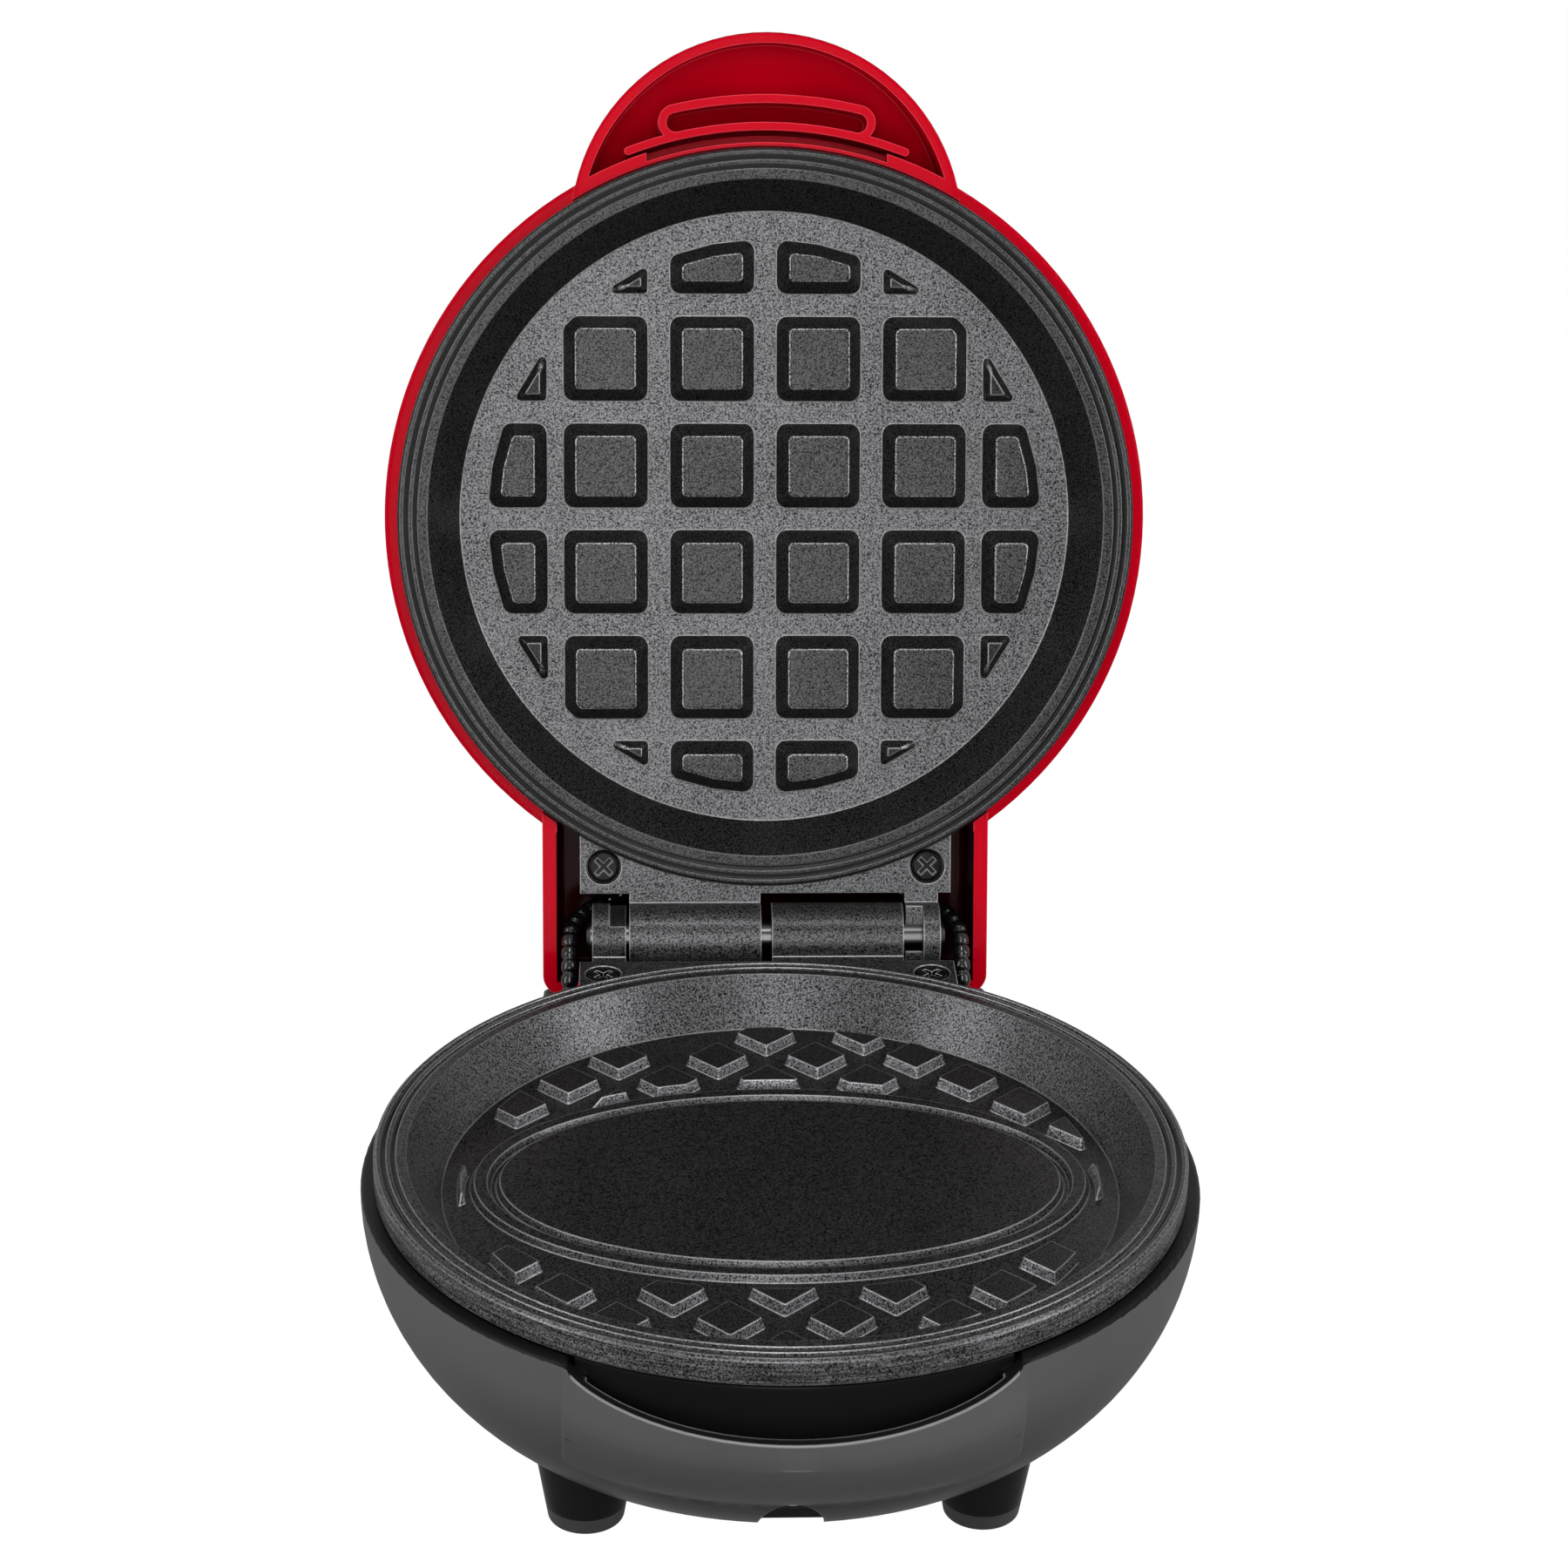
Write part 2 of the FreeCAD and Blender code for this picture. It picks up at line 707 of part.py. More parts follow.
def lip():
    """Front lip: an upright face that the bowl's side swells out to."""
    foot_wire = lip_foot()[0]
    swell = Part.makeLoft([lip_section(-lip_root_drop, lip_root_overhang, lip_root_step)[0],
                           lip_section(-lip_waist_drop, lip_waist_overhang, lip_waist_step)[0],
                           foot_wire], True, False)
    face = Part.Face(foot_wire).extrude(Vector(0, 0, lip_face))
    front = box(-lip_half_width, lip_half_width, -2 * shell_radius, 0, -lip_root_drop, 0)
    return swell.fuse(face).common(front)


def oval_bar(half_width, half_height):
    """Bar of oval section that runs forwards from the origin."""
    longer, shorter = max(half_width, half_height), min(half_width, half_height)
    outline = Part.Wire(Part.Ellipse(ORIGIN, longer, shorter).toShape())
    if half_height > half_width:
        outline.rotate(ORIGIN, Z_AXIS, 90)
    bar = Part.Face(outline).extrude(Vector(0, 0, 2 * shell_radius))
    bar.rotate(ORIGIN, X_AXIS, 90)
    return bar


def finger_pocket():
    """Scoop across the lip's top and the dish behind it, outside the pocket's back wall."""
    size = 2 * shell_radius
    scoop = oval_bar(scoop_half_width, scoop_depth)
    scoop.translate(Vector(0, 0, -lip_drop))
    curve, middle = lip_foot()[1:]
    mouth = curve - lip_wall
    sphere = (mouth ** 2 + dish_depth ** 2) / (2 * dish_depth)
    dish = Part.makeSphere(sphere, Vector(0, middle, sphere - lip_drop - scoop_depth - dish_depth))
    dish = dish.common(cylinder(0, middle, -size, 0, mouth))
    dish = dish.common(box(-dish_half_width, dish_half_width, -size, 0, -size, -lip_drop))
    return scoop.fuse(dish).cut(cylinder(0, 0, -size, size, pocket_radius))


def stop_face_body():
    """Everything under the face that the open lid leans on."""
    turn = math.radians(open_angle)
    reach = hood_back + stop_gap
    foot = Vector(0, hinge_y + reach * math.cos(turn), hinge_z - reach * math.sin(turn))
    body = box(-2 * shell_radius, 2 * shell_radius, -2 * shell_radius, 2 * shell_radius, -4 * shell_radius, 0)
    body.rotate(ORIGIN, X_AXIS, 90 - open_angle)
    body.translate(foot)
    return body


def rear_block(inset, low):
    """Block behind the bowl, under the hinge, inset from the outside."""
    half = hood_half_width - inset
    solid = box(-half, half, block_front, block_rear - inset, low, -block_top_drop - inset)
    upright = [e for e in solid.Edges if abs(e.tangentAt(e.FirstParameter).z) > 0.9
               and e.CenterOfMass.y > block_front + 1]
    solid = solid.makeFillet(block_round - inset, upright)
    under = stop_face_body()
    under.translate(Vector(0, 0, -inset / math.sin(math.radians(open_angle))))
    return solid.common(under)


def mirrored_pairs(places):
    return [(side * x, y) for x, y in places for side in (-1, 1)]


def leg(place):
    """Tapered leg above its rubber foot, with the hole for the foot's stem."""
    x, y = place
    low = table + foot_height
    radius = foot_radius + leg_taper * foot_height
    top = foot_radius + leg_taper * leg_top
    return Part.makeCone(radius, top, leg_top - foot_height, Vector(x, y, low))


def leg_holes():
    holes = []
    for x, y in mirrored_pairs((front_leg, rear_leg)):
        low = table + foot_height
        radius = foot_stem_radius + foot_stem_clearance
        holes.append(cylinder(x, y, low - cut_over, low + foot_stem_length + foot_stem_clearance, radius))
    return holes


def foot(place):
    """Rubber foot that carries the leg's taper on down to the table."""
    x, y = place
    pad = Part.makeCone(foot_radius, foot_radius + leg_taper * foot_height, foot_height, Vector(x, y, table))
    edge = [e for e in pad.Edges if e.CenterOfMass.z < table + 0.01 and e.Curve.TypeId == "Part::GeomCircle"]
    pad = pad.makeFillet(foot_height / 5, edge)
    stem = cylinder(x, y, table + foot_height / 2, table + foot_height + foot_stem_length, foot_stem_radius)
    return pad.fuse(stem)


def leg_ribs():
    """Ribs that tie the front legs to the bowl's wall."""
    rib = box(leg_radius, shell_radius, -rib_thickness / 2, rib_thickness / 2, skirt_edge, table + leg_top)
    rib.rotate(ORIGIN, Z_AXIS, leg_turn - 90)
    return [rib, mirrored(rib)]


def cover_posts():
    """Posts for the cover's screws, each ribbed to the wall beside it."""
    posts = []
    high = table + cover_post_top
    for x, y in mirrored_pairs(cover_screw_places):
        posts.append(cylinder(x, y, cover_top, high, post_radius))
        outer = math.copysign(2 * shell_radius, x)
        half = rib_thickness / 2
        posts.append(box(min(x, outer), max(x, outer), y - half, y + half, cover_top, high))
    return posts


def cover_pilots():
    return [cylinder(x, y, cover_top - cut_over, table + cover_post_top - cut_over, pilot_radius)
            for x, y in mirrored_pairs(cover_screw_places)]


def plate_posts():
    post = cylinder(plate_screw_x, plate_screw_y, -block_top_drop - 2 * shell_wall, -ring_height, post_radius)
    return [post, mirrored(post)]


def lower_housing():
    """Bowl with its lip, rear block, legs and inner posts."""
    outside = bowl(0, skirt_edge, rim_top)
    rim = [e for e in outside.Edges if abs(e.CenterOfMass.z - rim_top) < 0.01
           and e.Curve.TypeId == "Part::GeomCircle"]
    outside = outside.makeFillet(shell_rim_round, rim)
    outside = outside.fuse([lip(), rear_block(0, skirt_edge)])
    below = skirt_edge - cut_over
    cavity = bowl_hollow(shell_wall, below).fuse(rear_block(shell_wall, below))
    posts = [post.common(outside) for post in cover_posts() + leg_ribs()] + plate_posts()
    legs = [leg(place) for place in mirrored_pairs((front_leg, rear_leg))]
    back_wall = catch_wall(lip_half_width - pocket_wall, pocket_wall_foot)
    shell = outside.cut(cavity).fuse(posts + legs + [back_wall])
    cuts = [finger_pocket(), skirt_notch()] + leg_holes() + cover_pilots() + housing_holes()
    return shell.cut(cuts).removeSplitter()


def skirt_notch():
    """Arched notch in the front of the bowl's lower edge."""
    notch = oval_bar(skirt_notch_half_width, skirt_notch_height)
    notch.translate(Vector(0, skirt_notch_depth - skirt_radius, skirt_edge))
    return notch


def housing_holes():
    """Holes for the plate's screws, the leads and the cord's gland."""
    holes = []
    low = flange_face - screw_seat_depth - screw_length
    for side in (-1, 1):
        holes.append(cylinder(side * plate_screw_x, plate_screw_y, low, 0, pilot_radius))
        holes.append(cylinder(side * lead_x, lead_y, -block_top_drop - 2 * shell_wall, 0, lead_hole_radius))
    gland_z = table + gland_height
    holes.append(Part.makeCylinder(gland_radius + gland_clearance, 4 * shell_wall,
                                   Vector(0, block_rear - 2 * shell_wall, gland_z), Y_AXIS))
    return holes


def cover_radius():
    return curve_radius_at(bowl_centre, bowl_curve - shell_wall - cover_clearance, cover_under)


def base_cover():
    """Bottom plate: a disc with a tongue under the rear block."""
    half = hood_half_width - shell_wall - cover_clearance
    back = block_rear - shell_wall - cover_clearance
    tongue = box(-half, half, block_front - cut_over, back, cover_under, cover_top)
    edges = [e for e in tongue.Edges if abs(e.tangentAt(e.FirstParameter).z) > 0.9
             and e.CenterOfMass.y > back - 1]
    tongue = tongue.makeFillet(block_round - shell_wall, edges)
    neck = box(-floor_radius / 2, floor_radius / 2, 0, block_front, cover_under, cover_top)
    plate = cylinder(0, 0, cover_under, cover_top, cover_radius()).fuse([tongue, neck])
    cuts = []
    for place in mirrored_pairs((front_leg, rear_leg)):
        x, y = place
        radius = foot_radius + leg_taper * leg_top + cover_clearance
        cuts.append(cylinder(x, y, cover_under - cut_over, cover_top + cut_over, radius))
    for x, y in mirrored_pairs(cover_screw_places):
        cuts.append(cylinder(x, y, cover_under - cut_over, cover_top + cut_over,
                             screw_shank_radius + screw_clearance))
    for row in range(vent_count):
        y = (row - (vent_count - 1) / 2) * vent_pitch
        cuts.append(box(-vent_length / 2, vent_length / 2, y - vent_width / 2, y + vent_width / 2,
                        cover_under - cut_over, cover_top + cut_over))
    inside = bowl_hollow(shell_wall + cover_clearance, skirt_edge).fuse(
        box(-half, half, block_front, back, cover_under, cover_top))
    return plate.common(inside).cut(cuts).removeSplitter()


def base_cover_screws():
    return Part.makeCompound([
        screw_from_below(x, y, cover_under, cover_head_radius, cover_head_height, cover_screw_length)
        for x, y in mirrored_pairs(cover_screw_places)])


def heater_half():
    """Right half of the heater: half ring, elbow and the straight end."""
    start = math.radians(90 - heater_gap_half_angle)
    section = Part.Face(Part.Wire(Part.makeCircle(heater_radius, Vector(heater_ring, 0, heater_z), Y_AXIS)))
    section.rotate(ORIGIN, Z_AXIS, -90)
    sweep = 180 - heater_gap_half_angle
    half_ring = section.revolve(ORIGIN, Z_AXIS, sweep)
    end = section.copy()
    end.rotate(ORIGIN, Z_AXIS, sweep)
    reach = heater_ring + heater_bend
    bend_centre = Vector(reach * math.cos(start), reach * math.sin(start), 0)
    elbow = end.revolve(bend_centre, Z_AXIS, -(90 - heater_gap_half_angle))
    x = bend_centre.x - heater_bend
    straight = Part.makeCylinder(heater_radius, heater_end_y - bend_centre.y,
                                 Vector(x, bend_centre.y, heater_z), Y_AXIS)
    pin = Part.makeCylinder(heater_pin_radius, heater_pin_y - heater_end_y + cut_over,
                            Vector(x, heater_end_y - cut_over, heater_z), Y_AXIS)
    return half_ring.fuse([elbow, straight, pin]), x


def heating_element():
    half = heater_half()[0]
    return half.fuse(mirrored(half)).removeSplitter()


def heater_seals():
    x = heater_half()[1]
    bead = Part.makeCylinder(seal_radius, seal_length, Vector(x, heater_end_y, heater_z), Y_AXIS)
    bead = bead.makeFillet(seal_length / 4, [bead.Edges[0]])
    bore = Part.makeCylinder(heater_pin_radius + thread_clearance, 3 * seal_length,
                             Vector(x, heater_end_y - seal_length, heater_z), Y_AXIS)
    bead = bead.cut(bore)
    return Part.makeCompound([bead, mirrored(bead)])


def heat_shield(floor_drop):
    """Pressed pan behind a plate, screwed to the plate's bosses."""
    top, low = shield_seat, shield_seat - shield_thickness
    floor_top = -floor_drop
    floor_low = floor_top - shield_thickness
    pan = revolved_polygon([
        (0, floor_top), (shield_floor_radius, floor_top), (shield_flange_inner, top),
        (shield_flange_outer, top), (shield_flange_outer, low), (shield_flange_inner + shield_thickness, low),
        (shield_floor_radius + shield_thickness, floor_low), (0, floor_low)])
    cuts = []
    x = heater_half()[1]
    for side in (-1, 1):
        cuts.append(box(side * x - shield_slot_half, side * x + shield_slot_half, shield_slot_front,
                        2 * shell_radius, floor_top, 0))
        for y in (-boss_place, boss_place):
            cuts.append(cylinder(side * boss_place, y, low - cut_over, top + cut_over,
                                 screw_shank_radius + screw_clearance))
    return pan.cut(cuts)


def shield_screws():
    seat = shield_seat - shield_thickness
    return Part.makeCompound([
        screw_from_below(x, y, seat, shield_head_radius, shield_head_height, shield_screw_length)
        for x in (-boss_place, boss_place) for y in (-boss_place, boss_place)])


def thermostat():
    """Snap disc thermostat against the plate, with two blades below."""
    cap_low = floor_under - thermostat_cap_height
    low = cap_low - thermostat_height
    body = cylinder(0, thermostat_y, low, cap_low, thermostat_radius)
    cap = cylinder(0, thermostat_y, cap_low, floor_under, thermostat_cap_radius)
    half = thermostat_ear_width / 2
    reach = thermostat_ear_x + half
    ears = box(-reach, reach, thermostat_y - half, thermostat_y + half,
               cap_low - thermostat_ear_thickness, cap_low)
    blade = box(blade_x - blade_thickness / 2, blade_x + blade_thickness / 2, thermostat_y - blade_width / 2,
                thermostat_y + blade_width / 2, low - blade_length, low)
    holes = [cylinder(x, thermostat_y, low, floor_under, screw_shank_radius + screw_clearance)
             for x in (-thermostat_ear_x, thermostat_ear_x)]
    return body.fuse([cap, ears, blade, mirrored(blade)]).cut(holes).removeSplitter()


def thermostat_screws():
    seat = floor_under - thermostat_cap_height - thermostat_ear_thickness
    length = thermostat_cap_height + thermostat_ear_thickness + thermostat_grip
    return Part.makeCompound([
        screw_from_below(x, thermostat_y, seat, screw_head_radius, screw_head_height, length)
        for x in (-thermostat_ear_x, thermostat_ear_x)])


def along_x(radius, length, x, y, z):
    return Part.makeCylinder(radius, length, Vector(x - length / 2, y, z), X_AXIS)


def thermal_fuse():
    """One-shot cut-out with its two wires, lying against the plate."""
    x, y = fuse_place
    z = floor_under - fuse_radius - fuse_clearance
    wires = along_x(fuse_wire_radius, fuse_length + 2 * fuse_wire_length, x, y, z)
    return along_x(fuse_radius, fuse_length, x, y, z).fuse(wires)


def fuse_clip():
    """Saddle over the fuse with a foot on each side."""
    x, y = fuse_place
    inner = fuse_radius + fuse_clearance
    outer = inner + clip_thickness
    z = floor_under - inner
    strap = along_x(outer, clip_width, x, y, z).fuse(
        box(x - clip_width / 2, x + clip_width / 2, y - outer, y + outer, z, floor_under))
    foot_half = outer + clip_foot
    feet = box(x - clip_width / 2, x + clip_width / 2, y - foot_half, y + foot_half,
               floor_under - clip_thickness, floor_under)
    hollow = along_x(inner, 2 * clip_width, x, y, z).fuse(
        box(x - clip_width, x + clip_width, y - inner, y + inner, z, floor_under + cut_over))
    return strap.fuse(feet).cut(hollow).removeSplitter()


def terminal_block():
    length, width, height = terminal_size
    body = box(-length / 2, length / 2, terminal_y - width / 2, terminal_y + width / 2,
               cover_top, cover_top + height)
    middle = cover_top + height / 2
    wells = []
    for place in (-1, 0, 1):
        x = place * terminal_pitch
        wells.append(cylinder(x, terminal_y, middle, cover_top + height + cut_over, terminal_hole_radius))
        start = Vector(x, terminal_y - width, middle)
        wells.append(Part.makeCylinder(terminal_hole_radius, 2 * width, start, Y_AXIS))
    return body.cut(wells)


def cord_gland():
    """Grommet in the back wall, with the bore that the supply cord needs."""
    z = table + gland_height
    outside = Part.makeCylinder(gland_flange_radius, gland_flange, Vector(0, block_rear, z), Y_AXIS)
    rim = [e for e in outside.Edges if e.CenterOfMass.y > block_rear + gland_flange / 2
           and e.Curve.TypeId == "Part::GeomCircle"]
    outside = outside.makeFillet(gland_flange / 3, rim)
    start = Vector(0, block_rear - shell_wall - gland_tail, z)
    neck = Part.makeCylinder(gland_radius, shell_wall + gland_tail, start, Y_AXIS)
    lock = Part.makeCylinder(gland_flange_radius, gland_tail - gland_clearance, start, Y_AXIS)
    bore = Part.makeCylinder(gland_bore, 4 * gland_flange_radius,
                             Vector(0, block_rear - 2 * gland_flange_radius, z), Y_AXIS)
    return outside.fuse([neck, lock]).cut(bore).removeSplitter()


def crown(inset):
    """Centre height and radius of the dome's crown, inset from the outside."""
    turn = math.radians(dome_crown_from)
    centre = dome_centre[1] - dome_centre[0] * math.tan(turn)
    return centre, dome_centre[0] / math.cos(turn) + dome_curve - inset


def crown_height(inset, radius):
    centre, curve = crown(inset)
    return centre + math.sqrt(curve ** 2 - radius ** 2)


def dome(inset, low):
    """Lid's body of revolution, inset from the outside."""
    curve = dome_curve - inset
    side = dome_centre[0] + curve
    centre, crown_curve = crown(inset)
    top = centre + crown_curve
    return revolved([
        line((0, low), (side, low)), line((side, low), (side, dome_centre[1])),
        arc(dome_centre, curve, 0, dome_crown_from), arc((0, centre), crown_curve, dome_crown_from, 90),
        line((0, top), (0, low))])


def hood(inset, low):
    """Hinge hood behind the lid, inset from the outside."""
    half = hood_half_width - inset
    solid = box(-half, half, hood_front, hood_rear - inset, low, hood_top - inset)
    rounded = []
    for edge in solid.Edges:
        middle = edge.CenterOfMass
        at_back = middle.y > hood_rear - inset - 1
        at_top = middle.z > hood_top - inset - 1
        at_side = abs(middle.x) > half - 1
        if (at_back and (at_top or at_side)) or (at_top and at_side):
            rounded.append(edge)
    return solid.makeFillet(hood_inner_round if inset else hood_round, rounded)


def under_handle_top(drop):
    """Everything under the handle's sloping top, or under a face below it."""
    turn = math.radians(handle_slope)
    size = 2 * shell_radius
    body = box(-size, size, -size, size, -2 * size, 0)
    body.rotate(ORIGIN, X_AXIS, handle_slope)
    body.translate(Vector(0, -handle_reach, handle_tip_top - drop / math.cos(turn)))
    return body


def handle_tab():
    tab = cylinder(0, handle_centre, handle_bottom, handle_bottom + shell_radius, handle_curve)
    tab = tab.common(under_handle_top(0))
    curved = [e for e in tab.Edges if e.Curve.TypeId != "Part::GeomLine"]
    top = [e for e in curved if e.CenterOfMass.z > handle_bottom + 1]
    low = [e for e in curved if e.CenterOfMass.z < handle_bottom + 1]
    return tab.makeFillet(handle_round, top).makeFillet(handle_edge_round, low)


def handle_hollow():
    """Finger recess under the handle, outside the lid's round wall."""
    hollow = cylinder(0, handle_centre, handle_bottom - cut_over, shell_radius, handle_curve - handle_wall)
    hollow = hollow.common(under_handle_top(handle_roof))
    return hollow.cut(cylinder(0, 0, -shell_radius, shell_radius, lid_radius))


def arc_slot(inner, outer, half_width, low, high):
    """Slot along the lid's edge at the front, with round ends."""
    middle = (inner + outer) / 2
    y = -math.sqrt(middle ** 2 - half_width ** 2)
    band = ring(inner, outer, low, high).common(box(-half_width, half_width, -2 * outer, y / 2, low, high))
    ends = [cylinder(x, y, low, high, (outer - inner) / 2) for x in (-half_width, half_width)]
    return band.fuse(ends)


def handle_ribs():
    """Bar in front of the plate and the slot's frame, up to the recess's roof."""
    bar_outer = bar_radius + bar_thickness
    high = shell_radius
    bar = arc_slot(bar_radius, bar_outer, bar_half_width, bar_bottom, high)
    slot_outer = bar_outer + slot_width
    frame = arc_slot(bar_radius, slot_outer + slot_frame_wall, slot_half_width, bar_bottom, high)
    slot = arc_slot(bar_outer, slot_outer, slot_half_width, bar_bottom - cut_over, high + cut_over)
    body = handle_tab()
    return [bar.common(body), frame.cut(slot).common(body)]


def bar_groove():
    """Groove that parts the bar from the lid's wall."""
    groove = ring(bar_groove_radius, bar_radius, 0, bar_groove_top)
    return groove.common(box(-bar_groove_half, bar_groove_half, -2 * shell_radius, 0, 0, bar_groove_top))


def lid_posts():
    post = cylinder(plate_screw_x, plate_screw_y, ring_height, hood_top - shell_wall / 2, post_radius)
    return [post, mirrored(post)]


def lid_cover():
    """Dome with the handle in front and the hinge hood behind."""
    shell = dome(0, shell_rim_drop)
    rim = [e for e in shell.Edges if abs(e.CenterOfMass.z - shell_rim_drop) < 0.01
           and e.Curve.TypeId == "Part::GeomCircle"]
    shell = shell.makeFillet(shell_rim_round, rim)
    outside = shell.fuse([hood(0, hood_bottom), handle_tab()])
    inside = dome(shell_wall, -cut_over).fuse(hood(shell_wall, -cut_over))
    relief = cylinder(0, 0, -cut_over, shell_rim_drop, ring_radius + ring_clearance)
    solid = outside.cut([inside, handle_hollow(), relief, bar_groove()])
    catch = catch_wall(catch_half_width, catch_depth).mirror(ORIGIN, Z_AXIS)
    solid = solid.fuse(handle_ribs() + [catch] + [post.common(outside) for post in lid_posts()])
    depth = flange_drop + screw_seat_depth + screw_length
    holes = [cylinder(x, plate_screw_y, 0, depth, pilot_radius) for x in (-plate_screw_x, plate_screw_x)]
    holes.append(cylinder(0, lamp_y, 0, 2 * shell_radius, lens_radius + lens_clearance))
    solid = solid.cut(holes).removeSplitter()
    solid.translate(Vector(0, 0, plate_gap))
    return solid


def lens_seat():
    """Height of the lens flange's top, under the dome's inner face."""
    return plate_gap + crown_height(shell_wall, abs(lamp_y) + lens_flange_radius) - lens_clearance


def indicator_lens():
    seat = lens_seat()
    top = plate_gap + crown_height(0, abs(lamp_y)) + lens_rise
    body = cylinder(0, lamp_y, seat - lens_flange, top, lens_radius)
    edge = [e for e in body.Edges if e.CenterOfMass.z > top - 0.01
            and e.Curve.TypeId == "Part::GeomCircle"]
    flange = cylinder(0, lamp_y, seat - lens_flange, seat, lens_flange_radius)
    return body.makeFillet(lens_rise, edge).fuse(flange)


def indicator_lamp():
    top = lens_seat() - lens_flange - lens_clearance
    body = cylinder(0, lamp_y, top - lamp_length, top, lamp_radius)
    edge = [e for e in body.Edges if e.CenterOfMass.z > top - 0.01
            and e.Curve.TypeId == "Part::GeomCircle"]
    return body.makeFillet(lamp_radius / 2, edge)


def lamp_holder():
    """Collar that carries the lamp under its lens."""
    top = lens_seat() - lens_flange
    outer = lamp_radius + lens_clearance + holder_wall
    collar = cylinder(0, lamp_y, top - holder_length, top, outer)
    bore = cylinder(0, lamp_y, top - 2 * holder_length, top + cut_over, lamp_radius + lens_clearance)
    return collar.cut(bore)


def tube(points, radius):
    """Round tube along straight runs joined by the largest arcs that fit."""
    points = [Vector(*p) for p in points]
    edges = []
    start = points[0]
    for before, corner, after in zip(points, points[1:], points[2:]):
        back, ahead = (before - corner), (after - corner)
        reach = 0.45 * min(back.Length, ahead.Length)
        back.normalize()
        ahead.normalize()
        enter, leave = corner + back * reach, corner + ahead * reach
        half_turn = back.getAngle(ahead) / 2
        bisector = (back + ahead).normalize()
        bend = reach * math.tan(half_turn)
        middle = corner + bisector * (bend / math.sin(half_turn) - bend)
        edges.append(Part.LineSegment(start, enter).toShape())
        edges.append(Part.Arc(enter, middle, leave).toShape())
        start = leave
    edges.append(Part.LineSegment(start, points[-1]).toShape())
    section = Part.Wire(Part.makeCircle(radius, points[0], points[1] - points[0]))
    return Part.Wire(edges).makePipeShell([section], True, False)


def opened(shape):
    """A lid piece as it stands with the lid on its stop."""
    copy = shape.copy()
    copy.rotate(Vector(0, hinge_y, hinge_z), X_AXIS, -open_angle)
    return copy


def base_pieces():
    low_end = [(x, hinge_y + y, cover_top + z) for x, y, z in lead_start]
    right = tube(low_end + [(x, hinge_y + y, z) for x, y, z in lead_route], lead_radius)
    left_leg, right_leg = (-front_leg[0], front_leg[1]), front_leg
    left_back, right_back = (-rear_leg[0], rear_leg[1]), rear_leg
    return {
        "lower_housing": lower_housing(),
        "base_cover": base_cover(),
        "base_cover_screws": base_cover_screws(),
        "foot_front_left": foot(left_leg),
        "foot_front_right": foot(right_leg),
        "foot_rear_left": foot(left_back),
        "foot_rear_right": foot(right_back),
        "lower_plate": lower_plate(),
        "lower_plate_screws": plate_screws(),
        "hinge_pin": hinge_pin(),
        "lower_heating_element": heating_element(),
        "lower_heater_seals": heater_seals(),
        "lower_heat_shield": heat_shield(lower_shield_drop),
        "lower_shield_screws": shield_screws(),
        "thermostat": thermostat(),
        "thermostat_screws": thermostat_screws(),
        "thermal_fuse": thermal_fuse(),
        "fuse_clip": fuse_clip(),
        "terminal_block": terminal_block(),
        "cord_gland": cord_gland(),
        "lead_right": right,
        "lead_left": mirrored(right),
    }


def lid_pieces():
    return {
        "lid_cover": lid_cover(),
        "upper_plate": upper_plate(),
        "upper_plate_screws": turned_over(plate_screws()),
        "upper_heating_element": turned_over(heating_element()),
        "upper_heater_seals": turned_over(heater_seals()),
        "upper_heat_shield": turned_over(heat_shield(upper_shield_drop)),
        "upper_shield_screws": turned_over(shield_screws()),
        "indicator_lens": indicator_lens(),
        "indicator_lamp": indicator_lamp(),
        "lamp_holder": lamp_holder(),
    }


def main():
    pieces = base_pieces()
    for name, shape in lid_pieces().items():
        pieces[name] = opened(shape)
    boxes = [pieces[name].optimalBoundingBox(False) for name in ("lower_housing", "lid_cover")]
    middle = (min(b.YMin for b in boxes) + max(b.YMax for b in boxes)) / 2
    os.makedirs("parts", exist_ok=True)
    for name, shape in pieces.items():
        solids = shape.Solids
        placed = Part.makeCompound(solids) if len(solids) > 1 else solids[0]
        placed.translate(Vector(0, -middle, rim_height))
        placed.exportStep("parts/" + name + ".step")
    print("bowl axis at y", round(-middle, 4))
    print("hinge at y", round(hinge_y - middle, 4), "z", round(hinge_z + rim_height, 4))


main()
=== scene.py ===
import math

import bpy
from mathutils import Matrix, Vector


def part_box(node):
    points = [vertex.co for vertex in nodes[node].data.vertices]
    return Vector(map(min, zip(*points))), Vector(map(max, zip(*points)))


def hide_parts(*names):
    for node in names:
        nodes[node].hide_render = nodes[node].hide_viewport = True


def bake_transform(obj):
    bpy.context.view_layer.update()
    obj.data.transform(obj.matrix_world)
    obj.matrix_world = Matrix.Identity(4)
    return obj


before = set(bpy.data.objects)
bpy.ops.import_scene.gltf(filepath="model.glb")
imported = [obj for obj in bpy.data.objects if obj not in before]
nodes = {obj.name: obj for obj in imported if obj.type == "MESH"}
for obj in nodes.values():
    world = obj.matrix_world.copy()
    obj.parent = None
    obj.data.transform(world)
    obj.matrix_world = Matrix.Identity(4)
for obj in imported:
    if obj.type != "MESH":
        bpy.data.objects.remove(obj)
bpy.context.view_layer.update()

# Places
MM = 0.001
SCREW_HEAD_RADIUS = 2.45 * MM
PLATE_SCREW_Y = 52.7 * MM              # plate screws, behind the bowl's axis
BOWL_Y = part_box("lower_plate_screws")[0].y + SCREW_HEAD_RADIUS - PLATE_SCREW_Y
RIM_Z = 42.7 * MM                      # rim of the lower plate
HINGE_PLACE = (0, 63.4, 0.15)          # millimetres from the bowl's axis and the rim
